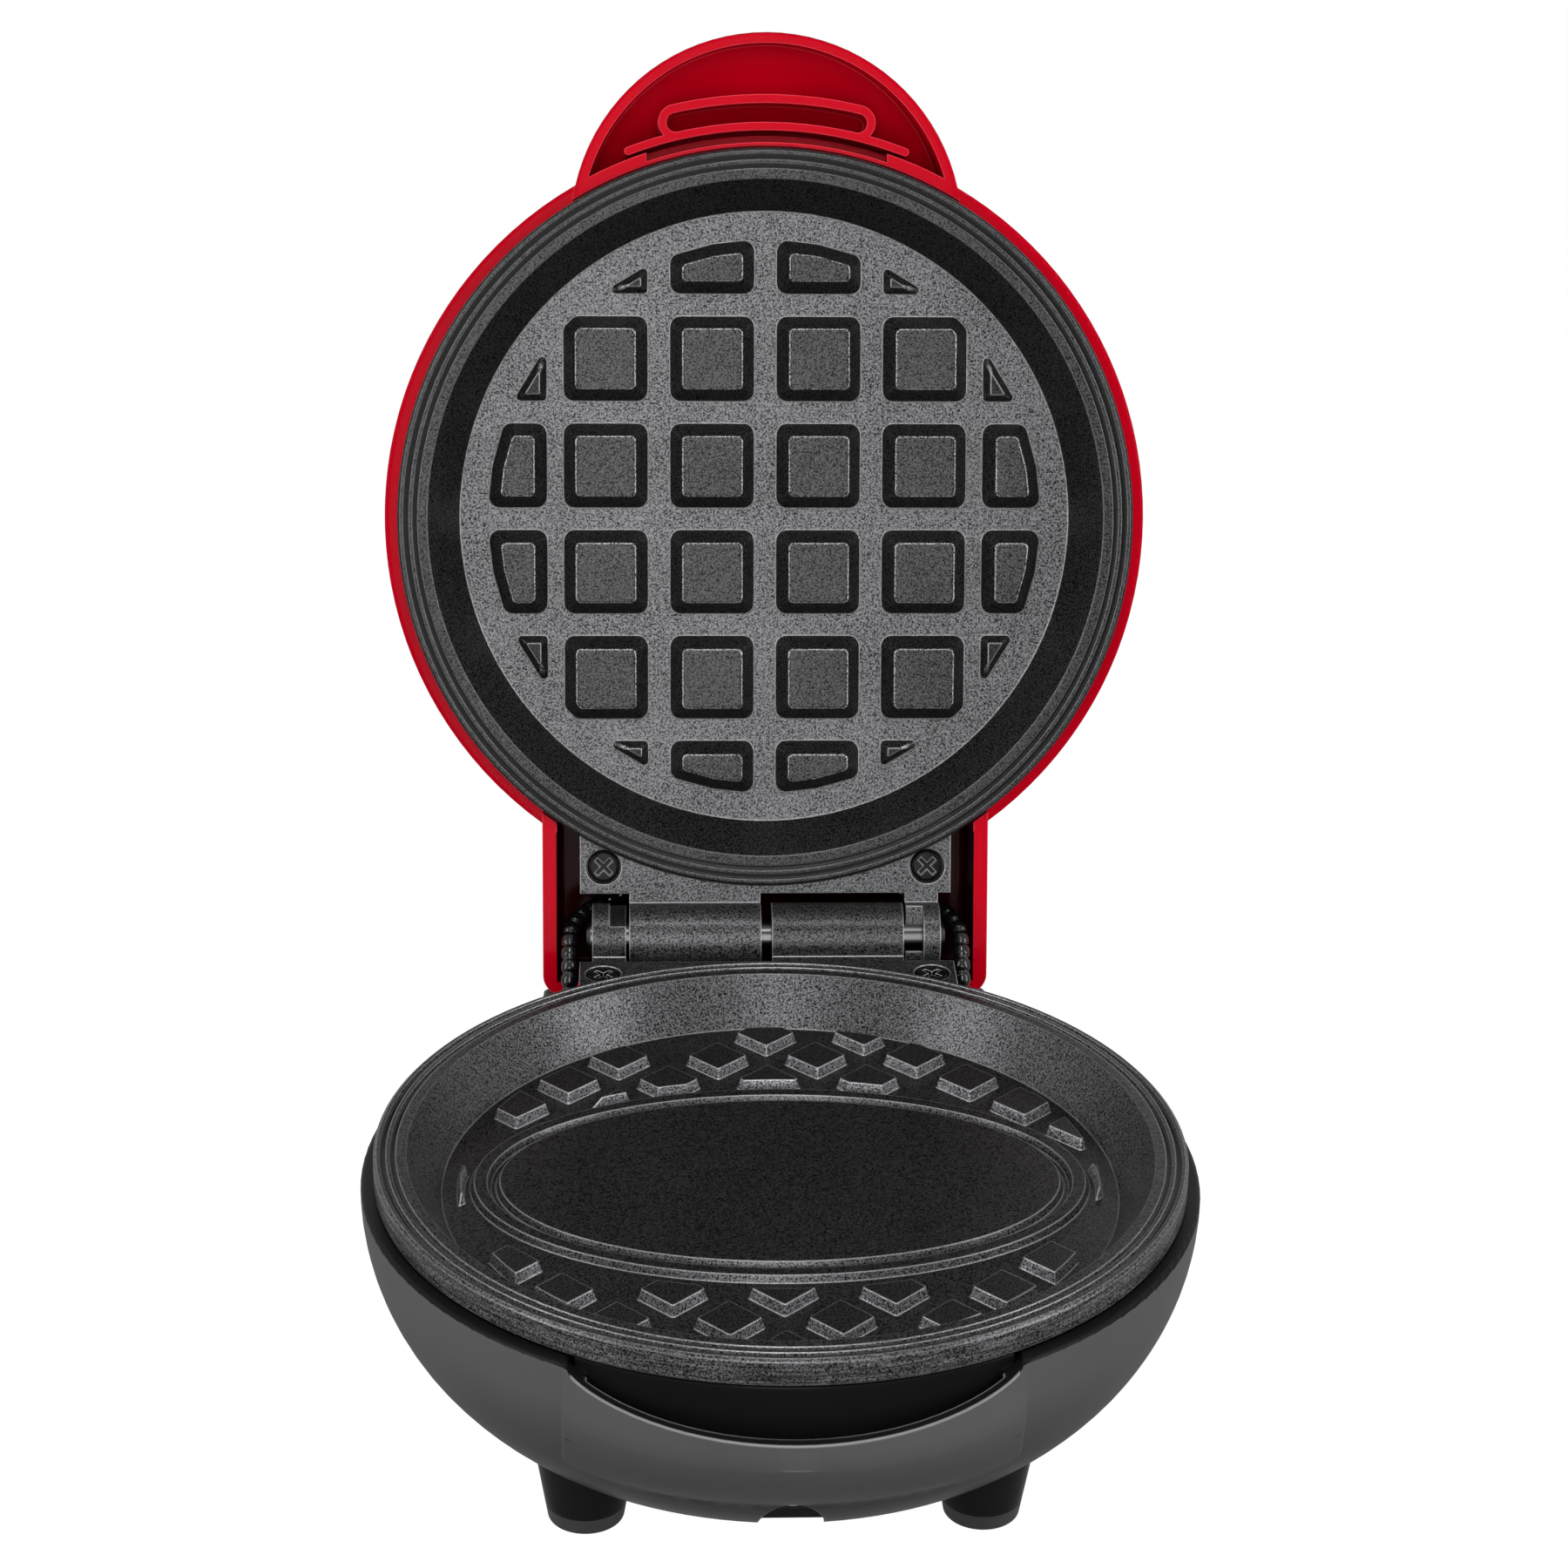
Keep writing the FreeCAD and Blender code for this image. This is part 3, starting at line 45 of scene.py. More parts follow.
OPEN_ANGLE = math.radians(106.3)       # lid, from shut to its stop

# Colours and levels of grey, linear
RED = (0.41, 0.0003, 0.0085)
# painted highlight along the lid's sharp edges
RED_PAINTED_HIGHLIGHT = (0.80, 0.07, 0.10)
HOOD_INSIDE = (0.022, 0.0006, 0.0012)
BLACK_PLASTIC = (0.074, 0.074, 0.0745)
# painted shade on the base's pocket, upward faces, foot and legs
PAINTED_SHADE_BLACK = (0.007, 0.007, 0.0072)
# painted highlight along the front lip's edge
LIP_PAINTED_HIGHLIGHT = (0.32, 0.32, 0.32)
COAT_DARK, COAT_LIGHT = 0.002, 0.038
COAT_EDGE_HIGHLIGHT, COAT_HIGHLIGHT_STRENGTH = 0.42, 0.7       # level of the painted highlight on a sharp edge, and how far it shows
# the last of these is a painted highlight along the edges of the screw heads
SCREW_DARK, SCREW_LIGHT, SCREW_EDGE_HIGHLIGHT = 0.002, 0.006, 0.55

# Grain: repeats of the coating's specks and clouds for each metre, how much the clouds count,
# and how many times wider a plain finish's clouds are than its grain
SPECK_SCALE = 3900.0
CLOUD_SCALE = 70.0
CLOUD_SHARE = 0.10
CLOUD_SPREAD = 12

# Roughness taken off the base's satin where it is smooth and along its edges
SMOOTH_POLISH, EDGE_POLISH = 0.22, 0.38

# How far a finish, and a painted edge highlight, reaches round a sharp edge
RED_REACH = 0.40 * MM
BLACK_REACH = 0.60 * MM
COAT_REACH = 0.35 * MM
SCREW_REACH = 0.18 * MM

# Where the lid's and the base's finishes, painted shade and painted highlight change, in millimetres
# from the bowl's axis and the rim with the lid shut; a pair is where a change starts and ends
HOOD_SIDES = (31.85, 32.0)
HOOD_FRONT = (47.2, 47.5)
HOOD_BACK = (70.6, 70.45)
HOOD_ROOF = (18.25, 18.15)
POCKET_RADIUS = 56.4
POCKET_BOX = ((-28.7, 28.7), (-60.0, -44.0), (-16.0, 0.0))
LIP_RADIUS = 56.0
LIP_BOX = ((-28.0, 28.0), (-70.0, -45.0), (-12.0, 0.0))
FOOT_FADE = (-23.0, -10.0)             # painted shade, from the dark foot of the bowl up its side
FOOT_SIDES = (15.0, 45.0)              # from its front to its left and right, where the painted shade is weaker
FOOT_SHARE, FOOT_SIDE_SHARE = 0.92, 0.5
LEG_TOP = -31.3

# How far a face of the base looks up, from its sides to the hollow of the lip, whose upward faces take
# painted shade
DISH_FACES = (0.10, 0.25)

# Where the coating's painted light and shade change on a plate, in millimetres from its axis or below its rim
MOUTH_RADIUS = 50.8
RING_FACE = (55.2, 55.7)               # the ring's turned face
RING_TO_HINGE = (55.7, 55.8)
BLOCKS_WITHIN = (45.3, 45.5)
BLOCKS_DEPTH = (6.6, 6.2)              # from the floor to the blocks
LOW_TOPS = 4.7                         # from the tall blocks' tops to the low ones', painted darker as shade
LOW_TOPS_SHARE = 0.4
GROOVES = 0.55                         # from the ring's lands to its grooves, painted darker as shade
GROOVE_SHARE = 0.1

# How far a face of a plate looks out of the tray, which sets its painted light and shade: 0 for an upright
# face, 1 for a level one
UPRIGHT_TO_SLOPE = (0.28, 0.42)
SLOPE_TO_LEVEL = (0.80, 0.92)
ROUNDED_EDGE = (0.68, 0.96)
TURNED_FACE = (0.3, 0.5)

# Turning lines on a plate's ring, painted as sheen: repeats for each radian round it and each millimetre up
# it
STREAKS_ROUND, STREAKS_UP = 9.0, 4.5
STREAK_DARK, STREAK_LIGHT = 1.2, 5.5

# Leads between the base and the lid: route of the right one, in millimetres from the bowl's
# axis and the rim, and the points of it where the bend starts and ends
LEAD_ROUTE = (
    (13.45, 52.6, -23.4), (25.0, 56.0, -21.3), (29.9, 57.5, -17.0), (29.9, 57.5, -8.0),
    (29.9, 60.5, -2.0), (29.9, 66.5, 1.2), (25.0, 73.5, 1.6), (15.0, 78.5, 3.4),
)
LEAD_RADIUS = 1.3 * MM
LEAD_STEPS = 420
LEAD_SIDES = 18
BEAD_PITCH = 2.1 * MM
BEAD_DEPTH = 0.22
BEAD_SHARPNESS = 6.0

# Faces of the CAD pieces
JOIN_WITHIN = 0.0002 * MM
CREASE = math.radians(32)

# Studio: degrees, metres and watts
AMBIENT = 0.10
FLOOR_HALF = 6.0
FLOOR_GREY = (0.45, 0.45, 0.45, 1)
FLOOR_WHITE = 1.12                     # strength of the floor's own white
FLOOR_SEEN, FLOOR_IN_GLOSS = 0.88, 0.28    # how far it covers the shadow, and its share in reflections
LIGHT_TARGET = Vector((0, -0.01, 0.08))
SOFT_BOXES = (
    dict(name="soft_box_left", azimuth=-66, elevation=20, distance=0.90, width=0.30, height=0.80, watts=5.0),
    dict(name="soft_box_right", azimuth=66, elevation=20, distance=0.90, width=0.30, height=0.80, watts=5.6),
    dict(name="soft_box_front", azimuth=-2, elevation=21, distance=1.10, width=0.36, height=0.84, watts=7.0),
    dict(name="soft_box_top", azimuth=0, elevation=75, distance=0.90, width=0.20, height=0.20, watts=2.0),
)

# Camera: degrees, and millimetres from the bowl's axis and the rim
VIEW_PLACE = (-19.516, -433.537, 240.337)
VIEW_TURN, VIEW_TILT, VIEW_ROLL = -2.53, -23.353, -0.881
VIEW_LENS, VIEW_SENSOR = 82.93, 36.0


def from_rim(point, side=1):
    """A point given from the bowl's axis and the rim, in millimetres, in the row frame."""
    x, y, z = point
    return Vector((side * x * MM, BOWL_Y + y * MM, RIM_Z + z * MM))


# Nodes

def add(tree, kind, **settings):
    node = tree.nodes.new(kind)
    for key, value in settings.items():
        setattr(node, key, value)
    return node


def feed(tree, socket, value):
    """Sets a socket to a constant, or links it to another node's output."""
    if isinstance(value, bpy.types.NodeSocket):
        tree.links.new(value, socket)
    else:
        socket.default_value = value


def combine(tree, operation, first, second=None):
    """Output of a Math node with one or two numbers or sockets."""
    node = add(tree, "ShaderNodeMath", operation=operation)
    feed(tree, node.inputs[0], first)
    if second is not None:
        feed(tree, node.inputs[1], second)
    return node.outputs[0]


def mapped(tree, value, low, high, start=0.3, end=0.7):
    """Number from low to high while a value runs from start to end."""
    node = add(tree, "ShaderNodeMapRange")
    tree.links.new(value, node.inputs["Value"])
    for socket, number in zip(("From Min", "From Max", "To Min", "To Max"), (start, end, low, high)):
        node.inputs[socket].default_value = number
    return node.outputs["Result"]


def between(tree, value, low, high):
    """1 where a value lies between two, and 0 elsewhere."""
    return combine(tree, "MULTIPLY", combine(tree, "GREATER_THAN", value, low),
                   combine(tree, "LESS_THAN", value, high))


def inside_box(tree, place, limits):
    """1 where x, y and z lie between their limits, and 0 elsewhere."""
    inside = 1.0
    for value, (low, high) in zip(place, limits):
        inside = combine(tree, "MULTIPLY", inside, between(tree, value, low, high))
    return inside


def axis_distance(tree, x, y):
    return combine(tree, "SQRT", combine(tree, "ADD", combine(tree, "MULTIPLY", x, x),
                                         combine(tree, "MULTIPLY", y, y)))


def tint(tree, value, dark, light, blend="MIX"):
    """Colour between two, by a value from 0 to 1."""
    node = add(tree, "ShaderNodeMix", data_type="RGBA", blend_type=blend)
    feed(tree, node.inputs["Factor"], value)
    for socket, colour in (("A", dark), ("B", light)):
        target = next(s for s in node.inputs if s.name == socket and s.type == "RGBA")
        feed(tree, target, colour if isinstance(colour, bpy.types.NodeSocket) else (*colour, 1.0))
    return next(s for s in node.outputs if s.type == "RGBA")


def shaded(colour, factor):
    return tuple(c * factor for c in colour)


def grey(level):
    """Grey with a trace of blue."""
    return (level, level, level * 1.02)


def object_coords(tree, scale=(1, 1, 1)):
    mapping = add(tree, "ShaderNodeMapping")
    mapping.inputs["Scale"].default_value = scale
    tree.links.new(add(tree, "ShaderNodeTexCoord").outputs["Object"], mapping.inputs["Vector"])
    return mapping.outputs["Vector"]


def shut_coords(tree, turn):
    """Place from the bowl's axis and the lower rim with the lid shut, in millimetres."""
    hinge = from_rim(HINGE_PLACE)
    shift = hinge - from_rim((0, 0, 0)) - Matrix.Rotation(turn, 3, "X") @ hinge
    mapping = add(tree, "ShaderNodeMapping")
    mapping.inputs["Scale"].default_value = (1 / MM, 1 / MM, 1 / MM)
    mapping.inputs["Rotation"].default_value = (turn, 0, 0)
    mapping.inputs["Location"].default_value = shift / MM
    tree.links.new(add(tree, "ShaderNodeTexCoord").outputs["Object"], mapping.inputs["Vector"])
    parts = add(tree, "ShaderNodeSeparateXYZ")
    tree.links.new(mapping.outputs["Vector"], parts.inputs[0])
    return parts.outputs["X"], parts.outputs["Y"], parts.outputs["Z"]


def facing(tree, direction):
    """How far a face looks along a direction, from -1 to 1."""
    node = add(tree, "ShaderNodeVectorMath", operation="DOT_PRODUCT")
    tree.links.new(add(tree, "ShaderNodeTexCoord").outputs["Normal"], node.inputs[0])
    node.inputs[1].default_value = direction
    return node.outputs["Value"]


def noise(tree, scale, detail=2.0, stretch=(1, 1, 1)):
    node = add(tree, "ShaderNodeTexNoise")
    node.inputs["Scale"].default_value = scale
    node.inputs["Detail"].default_value = detail
    tree.links.new(object_coords(tree, stretch), node.inputs["Vector"])
    return node.outputs[0]


def bump(tree, shader, height, strength, distance, base=None):
    node = add(tree, "ShaderNodeBump")
    node.inputs["Strength"].default_value = strength
    node.inputs["Distance"].default_value = distance
    tree.links.new(height, node.inputs["Height"])
    if base is not None:
        tree.links.new(base, node.inputs["Normal"])
    tree.links.new(node.outputs["Normal"], shader.inputs["Normal"])


def sharp_edge_mask(tree, reach, start, end):
    """0 on flat faces, 1 along sharp edges, and the normal of the rounded edge."""
    rounded = add(tree, "ShaderNodeBevel", samples=6)
    rounded.inputs["Radius"].default_value = reach
    flat = add(tree, "ShaderNodeNewGeometry")
    dot = add(tree, "ShaderNodeVectorMath", operation="DOT_PRODUCT")
    tree.links.new(rounded.outputs["Normal"], dot.inputs[0])
    tree.links.new(flat.outputs["Normal"], dot.inputs[1])
    return mapped(tree, dot.outputs["Value"], 1.0, 0.0, start, end), rounded.outputs["Normal"]


# Finishes

def new_finish(name, **sockets):
    """Material with its shader; constants go straight on the shader's sockets."""
    material = bpy.data.materials.new(name)
    material.use_nodes = True
    tree = material.node_tree
    shader = next(n for n in tree.nodes if n.type == "BSDF_PRINCIPLED")
    for socket, value in sockets.items():
        shader.inputs[socket.replace("_", " ")].default_value = value
    return material, tree, shader


def plain_finish(name, dark, light, rough, scale, metallic=0.0, grain=0.1, stretch=(1, 1, 1), **sockets):
    """Mottled colour, uneven gloss and a fine grain, all from one size of noise."""
    material, tree, shader = new_finish(name, Metallic=metallic, **sockets)
    cloud = noise(tree, scale / CLOUD_SPREAD, detail=3.0, stretch=stretch)
    tree.links.new(tint(tree, mapped(tree, cloud, 0, 1), dark, light), shader.inputs["Base Color"])
    tree.links.new(mapped(tree, cloud, *rough), shader.inputs["Roughness"])
    bump(tree, shader, noise(tree, scale, stretch=stretch), strength=grain, distance=0.04 * MM)
    return material


def hood_inside(tree):
    """1 on the walls inside the lid's hinge hood, which are coloured near-black dark red, and 0 elsewhere."""
    x, y, z = shut_coords(tree, OPEN_ANGLE)
    inside = mapped(tree, combine(tree, "ABSOLUTE", x), 1, 0, *HOOD_SIDES)
    for value, change in ((y, HOOD_FRONT), (y, HOOD_BACK), (z, HOOD_ROOF)):
        inside = combine(tree, "MULTIPLY", inside, mapped(tree, value, 0, 1, *change))
    return inside


def red_gloss():
    """Glossy moulded lid: deep red, with a painted highlight along its edges and the ripple of a polished
    mould.
    """
    material, tree, shader = new_finish("red_gloss", Specular_IOR_Level=0.015, IOR=1.5)
    cloud = noise(tree, scale=26.0, detail=3.0)
    red = tint(tree, mapped(tree, cloud, 0, 1), shaded(RED, 0.94), shaded(RED, 1.05))
    edge, rounded = sharp_edge_mask(tree, RED_REACH, start=0.80, end=0.94)
    # painted highlight: the lid's sharp edges are coloured lighter
    red = tint(tree, edge, red, RED_PAINTED_HIGHLIGHT)
    tree.links.new(tint(tree, hood_inside(tree), red, HOOD_INSIDE), shader.inputs["Base Color"])
    tree.links.new(mapped(tree, cloud, low=0.10, high=0.14), shader.inputs["Roughness"])
    ripple = noise(tree, scale=420.0, detail=1.0)
    bump(tree, shader, ripple, strength=0.05, distance=0.1 * MM, base=rounded)
    return material


def smooth_and_painted_shade(tree, place):
    """1 in the finger pocket, on the base's upward faces and on the legs, fading to 0 up the bowl's grained
    side: there the base is smoother and painted darker as shade.
    """
    x, y, z = place
    within = combine(tree, "LESS_THAN", axis_distance(tree, x, y), POCKET_RADIUS)
    pocket = combine(tree, "MULTIPLY", within, inside_box(tree, place, POCKET_BOX))
    dish = mapped(tree, facing(tree, (0, 0, 1)), 0, 1, *DISH_FACES)
    # painted shade darkens the bowl towards its foot, less at its left and right
    foot = combine(tree, "MULTIPLY", mapped(tree, z, FOOT_SHARE, 0, *FOOT_FADE),
                   mapped(tree, combine(tree, "ABSOLUTE", x), 1.0, FOOT_SIDE_SHARE, *FOOT_SIDES))
    legs = combine(tree, "LESS_THAN", z, LEG_TOP)
    hollows = combine(tree, "MAXIMUM", pocket, dish)
    return combine(tree, "MAXIMUM", hollows, combine(tree, "MAXIMUM", foot, legs))


def lip_edge(tree, place, edge):
    """1 along the edge of the front lip, where a highlight is painted, and 0 elsewhere."""
    outside = combine(tree, "GREATER_THAN", axis_distance(tree, place[0], place[1]), LIP_RADIUS)
    outer_edge = combine(tree, "MULTIPLY", edge, outside)
    return combine(tree, "MULTIPLY", outer_edge, inside_box(tree, place, LIP_BOX))


def black_satin():
    """Moulded base: satin black with a fine even grain, smooth along its edges; painted shade low down and in
    its hollows, and a painted highlight on the lip's edge.
    """
    material, tree, shader = new_finish("black_satin", Specular_IOR_Level=0.05, IOR=1.48)
    place = shut_coords(tree, 0.0)
    cloud = noise(tree, scale=30.0, detail=3.0)
    smooth = smooth_and_painted_shade(tree, place)
    satin = tint(tree, mapped(tree, cloud, 0, 1), shaded(BLACK_PLASTIC, 0.92), shaded(BLACK_PLASTIC, 1.08))
    # painted shade: the pocket, the upward faces, the foot of the bowl and the legs are coloured darker
    black = tint(tree, smooth, satin, PAINTED_SHADE_BLACK)
    edge, rounded = sharp_edge_mask(tree, BLACK_REACH, start=0.90, end=0.995)
    # painted highlight: the lip's edge is coloured light grey
    tree.links.new(tint(tree, lip_edge(tree, place, edge), black, LIP_PAINTED_HIGHLIGHT), shader.inputs["Base Color"])
    polish = combine(tree, "MAXIMUM", combine(tree, "MULTIPLY", smooth, SMOOTH_POLISH),
                     combine(tree, "MULTIPLY", edge, EDGE_POLISH))
    rough = combine(tree, "SUBTRACT", mapped(tree, cloud, low=0.50, high=0.56), polish)
    tree.links.new(rough, shader.inputs["Roughness"])
    bump(tree, shader, noise(tree, scale=2600.0), strength=0.10, distance=0.03 * MM, base=rounded)
    return material


def ring_streaks(tree, place, radius):
    """Lightness of the fine lines that turning leaves on the face of a plate's ring, painted on as sheen."""
    x, y, z = place
    vector = add(tree, "ShaderNodeCombineXYZ")
    feed(tree, vector.inputs["X"], combine(tree, "MULTIPLY", combine(tree, "ARCTAN2", y, x), STREAKS_ROUND))
    feed(tree, vector.inputs["Y"], combine(tree, "MULTIPLY", z, STREAKS_UP))
    feed(tree, vector.inputs["Z"], radius)
    lines = add(tree, "ShaderNodeTexNoise")
    lines.inputs["Scale"].default_value = 1.0
    lines.inputs["Detail"].default_value = 2.0
    tree.links.new(vector.outputs[0], lines.inputs["Vector"])
    light = mapped(tree, lines.outputs[0], 0, 1, start=0.35, end=0.65)
    return tint(tree, light, grey(STREAK_DARK), grey(STREAK_LIGHT))


def nonstick(name, turn, flats, tops, rim, walls, sides, edges, knuckles, rim_highlight_share):
    """Sprayed coating on a cast plate: dark and speckled, with painted light and shade by how a face lies.

    flats, tops, rim, walls, sides, edges and knuckles are its painted lightness on the floor, on
    the blocks, around the tray, on its sloping wall, on the blocks' sides and their rounded
    edges, and on the hinge. Sharp edges get a painted highlight; the last argument is the share
    of it around the tray.
    """
    material, tree, shader = new_finish(name, Metallic=0.5, Specular_IOR_Level=0.12, IOR=1.45)
    place = shut_coords(tree, turn)
    depth = combine(tree, "ABSOLUTE", place[2])
    radius = axis_distance(tree, place[0], place[1])
    outward = facing(tree, (0, -math.sin(turn), -math.cos(turn)) if turn else (0, 0, 1))
    on_blocks = combine(tree, "MULTIPLY", mapped(tree, depth, 0, 1, *BLOCKS_DEPTH),
                        mapped(tree, radius, 1, 0, *BLOCKS_WITHIN))
    on_rim = between(tree, radius, MOUTH_RADIUS, RING_FACE[1])

    # painted shade: the low blocks' tops and the ring's grooves are darker
    tall = combine(tree, "LESS_THAN", depth, LOW_TOPS)
    block_tops = tint(tree, tall, grey(LOW_TOPS_SHARE * tops), grey(tops))
    lands = tint(tree, combine(tree, "GREATER_THAN", depth, GROOVES), grey(rim), grey(GROOVE_SHARE * rim))
    level_faces = tint(tree, on_rim, tint(tree, on_blocks, grey(flats), block_tops), lands)
    # painted light and shade: each face's lightness follows how it lies, from upright sides to level faces
    light = tint(tree, mapped(tree, outward, 0, 1, *UPRIGHT_TO_SLOPE), grey(sides), grey(walls))
    light = tint(tree, mapped(tree, outward, 0, 1, *SLOPE_TO_LEVEL), light, level_faces)
    # painted highlight on the blocks' rounded top edges
    rounded_edge = combine(tree, "MULTIPLY", on_blocks, between(tree, outward, *ROUNDED_EDGE))
    light = tint(tree, rounded_edge, light, grey(edges))
    # painted lightness on the hinge's knuckles
    light = tint(tree, mapped(tree, radius, 0, 1, *RING_TO_HINGE), light, grey(knuckles))
    # painted sheen: the ring's turned face is lit in the pattern of its turning lines
    turned = combine(tree, "MULTIPLY", between(tree, radius, *RING_FACE),
                     mapped(tree, outward, 1, 0, *TURNED_FACE))
    light = tint(tree, turned, light, ring_streaks(tree, place, radius))

    speck = noise(tree, SPECK_SCALE, detail=1.0)
    cloud = noise(tree, CLOUD_SCALE, detail=3.0)
    mottle = combine(tree, "ADD", combine(tree, "MULTIPLY", cloud, CLOUD_SHARE), speck)
    coat = tint(tree, mapped(tree, mottle, 0, 1, start=0.40, end=0.70), grey(COAT_DARK), grey(COAT_LIGHT))
    # the painted light and shade multiply the speckled coat
    coat = tint(tree, 1.0, coat, light, "MULTIPLY")
    # painted highlight: the coating's sharp edges are coloured light grey
    edge_highlight, rounded = sharp_edge_mask(tree, COAT_REACH, start=0.90, end=0.995)
    edge_highlight = combine(tree, "MULTIPLY", edge_highlight, mapped(tree, on_rim, COAT_HIGHLIGHT_STRENGTH, COAT_HIGHLIGHT_STRENGTH * rim_highlight_share, 0.0, 1.0))
    tree.links.new(tint(tree, edge_highlight, coat, grey(COAT_EDGE_HIGHLIGHT)), shader.inputs["Base Color"])
    tree.links.new(mapped(tree, speck, low=0.26, high=0.36), shader.inputs["Roughness"])
    bump(tree, shader, speck, strength=0.30, distance=0.05 * MM, base=rounded)
    return material


def black_screw():
    """Blackened screw, with a painted highlight along the edges of its head and cross."""
    material, tree, shader = new_finish("black_screw", Specular_IOR_Level=0.05, IOR=1.5)
    cloud = noise(tree, scale=900.0)
    edge, rounded = sharp_edge_mask(tree, SCREW_REACH, start=0.88, end=0.99)
    black = tint(tree, mapped(tree, cloud, 0, 1), grey(SCREW_DARK), grey(SCREW_LIGHT))
    # painted highlight: the head's edges are coloured light grey
    tree.links.new(tint(tree, edge, black, grey(SCREW_EDGE_HIGHLIGHT)), shader.inputs["Base Color"])
    tree.links.new(mapped(tree, cloud, low=0.16, high=0.26), shader.inputs["Roughness"])
    bump(tree, shader, noise(tree, scale=1800.0), strength=0.12, distance=0.04 * MM, base=rounded)
    return material


FINISHES = {
    "red_gloss": red_gloss(),
    "black_satin": black_satin(),
    # painted lightness of each kind of face on the plates, and how much painted edge highlight shows round
    # the tray
    "nonstick_lower": nonstick(
        "nonstick_lower", 0.0, flats=1.2, tops=2.6, rim=1.3, walls=2.8, sides=9.0, edges=2.0,
        knuckles=1.7, rim_highlight_share=0.6),
    "nonstick_upper": nonstick(
        "nonstick_upper", OPEN_ANGLE, flats=2.8, tops=1.15, rim=1.0, walls=1.0, sides=0.9, edges=7.0,
        knuckles=2.2, rim_highlight_share=0.35),
    "turned_steel": plain_finish(
        "turned_steel", grey(0.05), grey(0.09), rough=(0.22, 0.34), scale=2400.0, metallic=1.0,
        grain=0.05, stretch=(0.05, 1, 1)),
    "black_screw": black_screw(),
    "foot_rubber": plain_finish(
        "foot_rubber", grey(0.010), grey(0.018), rough=(0.50, 0.62), scale=1500.0, grain=0.20),
    "pressed_steel": plain_finish(
        "pressed_steel", grey(0.38), grey(0.52), rough=(0.30, 0.42), scale=900.0, metallic=1.0, grain=0.08),
    "heater_sheath": plain_finish(
        "heater_sheath", (0.20, 0.17, 0.15), (0.30, 0.27, 0.24), rough=(0.42, 0.55), scale=1200.0,
        metallic=0.9, grain=0.15),
    "white_ceramic": plain_finish(
        "white_ceramic", (0.66, 0.63, 0.57), (0.78, 0.76, 0.71), rough=(0.35, 0.5), scale=1400.0, grain=0.15),
    "brown_phenolic": plain_finish(
        "brown_phenolic", (0.045, 0.022, 0.012), (0.075, 0.038, 0.02), rough=(0.35, 0.5), scale=900.0),
    "black_gland": plain_finish(
        "black_gland", grey(0.010), grey(0.016), rough=(0.42, 0.55), scale=1500.0, grain=0.15),
    "glossy_sleeve": plain_finish(
        "glossy_sleeve", grey(0.002), grey(0.005), rough=(0.08, 0.16), scale=1300.0,
        Specular_IOR_Level=0.3),
    "red_lens": plain_finish(
        "red_lens", (0.55, 0.015, 0.008), (0.66, 0.025, 0.012), rough=(0.08, 0.14), scale=800.0, grain=0.03,
        Transmission_Weight=0.5, IOR=1.49),
    "lamp_glass": plain_finish(
        "lamp_glass", (0.75, 0.42, 0.22), (0.85, 0.52, 0.30), rough=(0.05, 0.1), scale=700.0, grain=0.03,
        Transmission_Weight=0.7, IOR=1.5),
}

NODE_FINISHES = {
    "red_gloss": ["lid_cover"],
    "black_satin": ["lower_housing", "base_cover"],
    "nonstick_lower": ["lower_plate"],
    "nonstick_upper": ["upper_plate"],
    "turned_steel": ["hinge_pin"],
    "black_screw": ["lower_plate_screws", "upper_plate_screws"],
    "foot_rubber": ["foot_front_left", "foot_front_right", "foot_rear_left", "foot_rear_right"],
    "pressed_steel": ["lower_heat_shield", "upper_heat_shield", "fuse_clip", "lower_shield_screws",
                      "upper_shield_screws", "thermostat_screws", "base_cover_screws"],
    "heater_sheath": ["lower_heating_element", "upper_heating_element"],
    "white_ceramic": ["lower_heater_seals", "upper_heater_seals", "thermal_fuse", "terminal_block"],
    "brown_phenolic": ["thermostat", "lamp_holder"],
    "black_gland": ["cord_gland"],
    "red_lens": ["indicator_lens"],
    "lamp_glass": ["indicator_lamp"],
}


def dress_nodes():
    for finish, names in NODE_FINISHES.items():
        for name in names:
            mesh = nodes[name].data
            mesh.materials.clear()
            mesh.materials.append(FINISHES[finish])


# Shading of the CAD faces

def node_group(name, inputs):
    """Geometry tree with a Geometry input and output and named inputs."""
    tree = bpy.data.node_groups.new(name, "GeometryNodeTree")
    tree.interface.new_socket("Geometry", in_out="INPUT", socket_type="NodeSocketGeometry")
    tree.interface.new_socket("Geometry", in_out="OUTPUT", socket_type="NodeSocketGeometry")
    for label, kind, value in inputs:
        socket = tree.interface.new_socket(label, in_out="INPUT", socket_type=kind)
        if value is not None:
            socket.default_value = value
    return tree, tree.nodes.new("NodeGroupInput"), tree.nodes.new("NodeGroupOutput")


def set_input(modifier, label, value):
    items = modifier.node_group.interface.items_tree
    socket = next(i for i in items if i.name == label and i.in_out == "INPUT")
    modifier[socket.identifier] = value


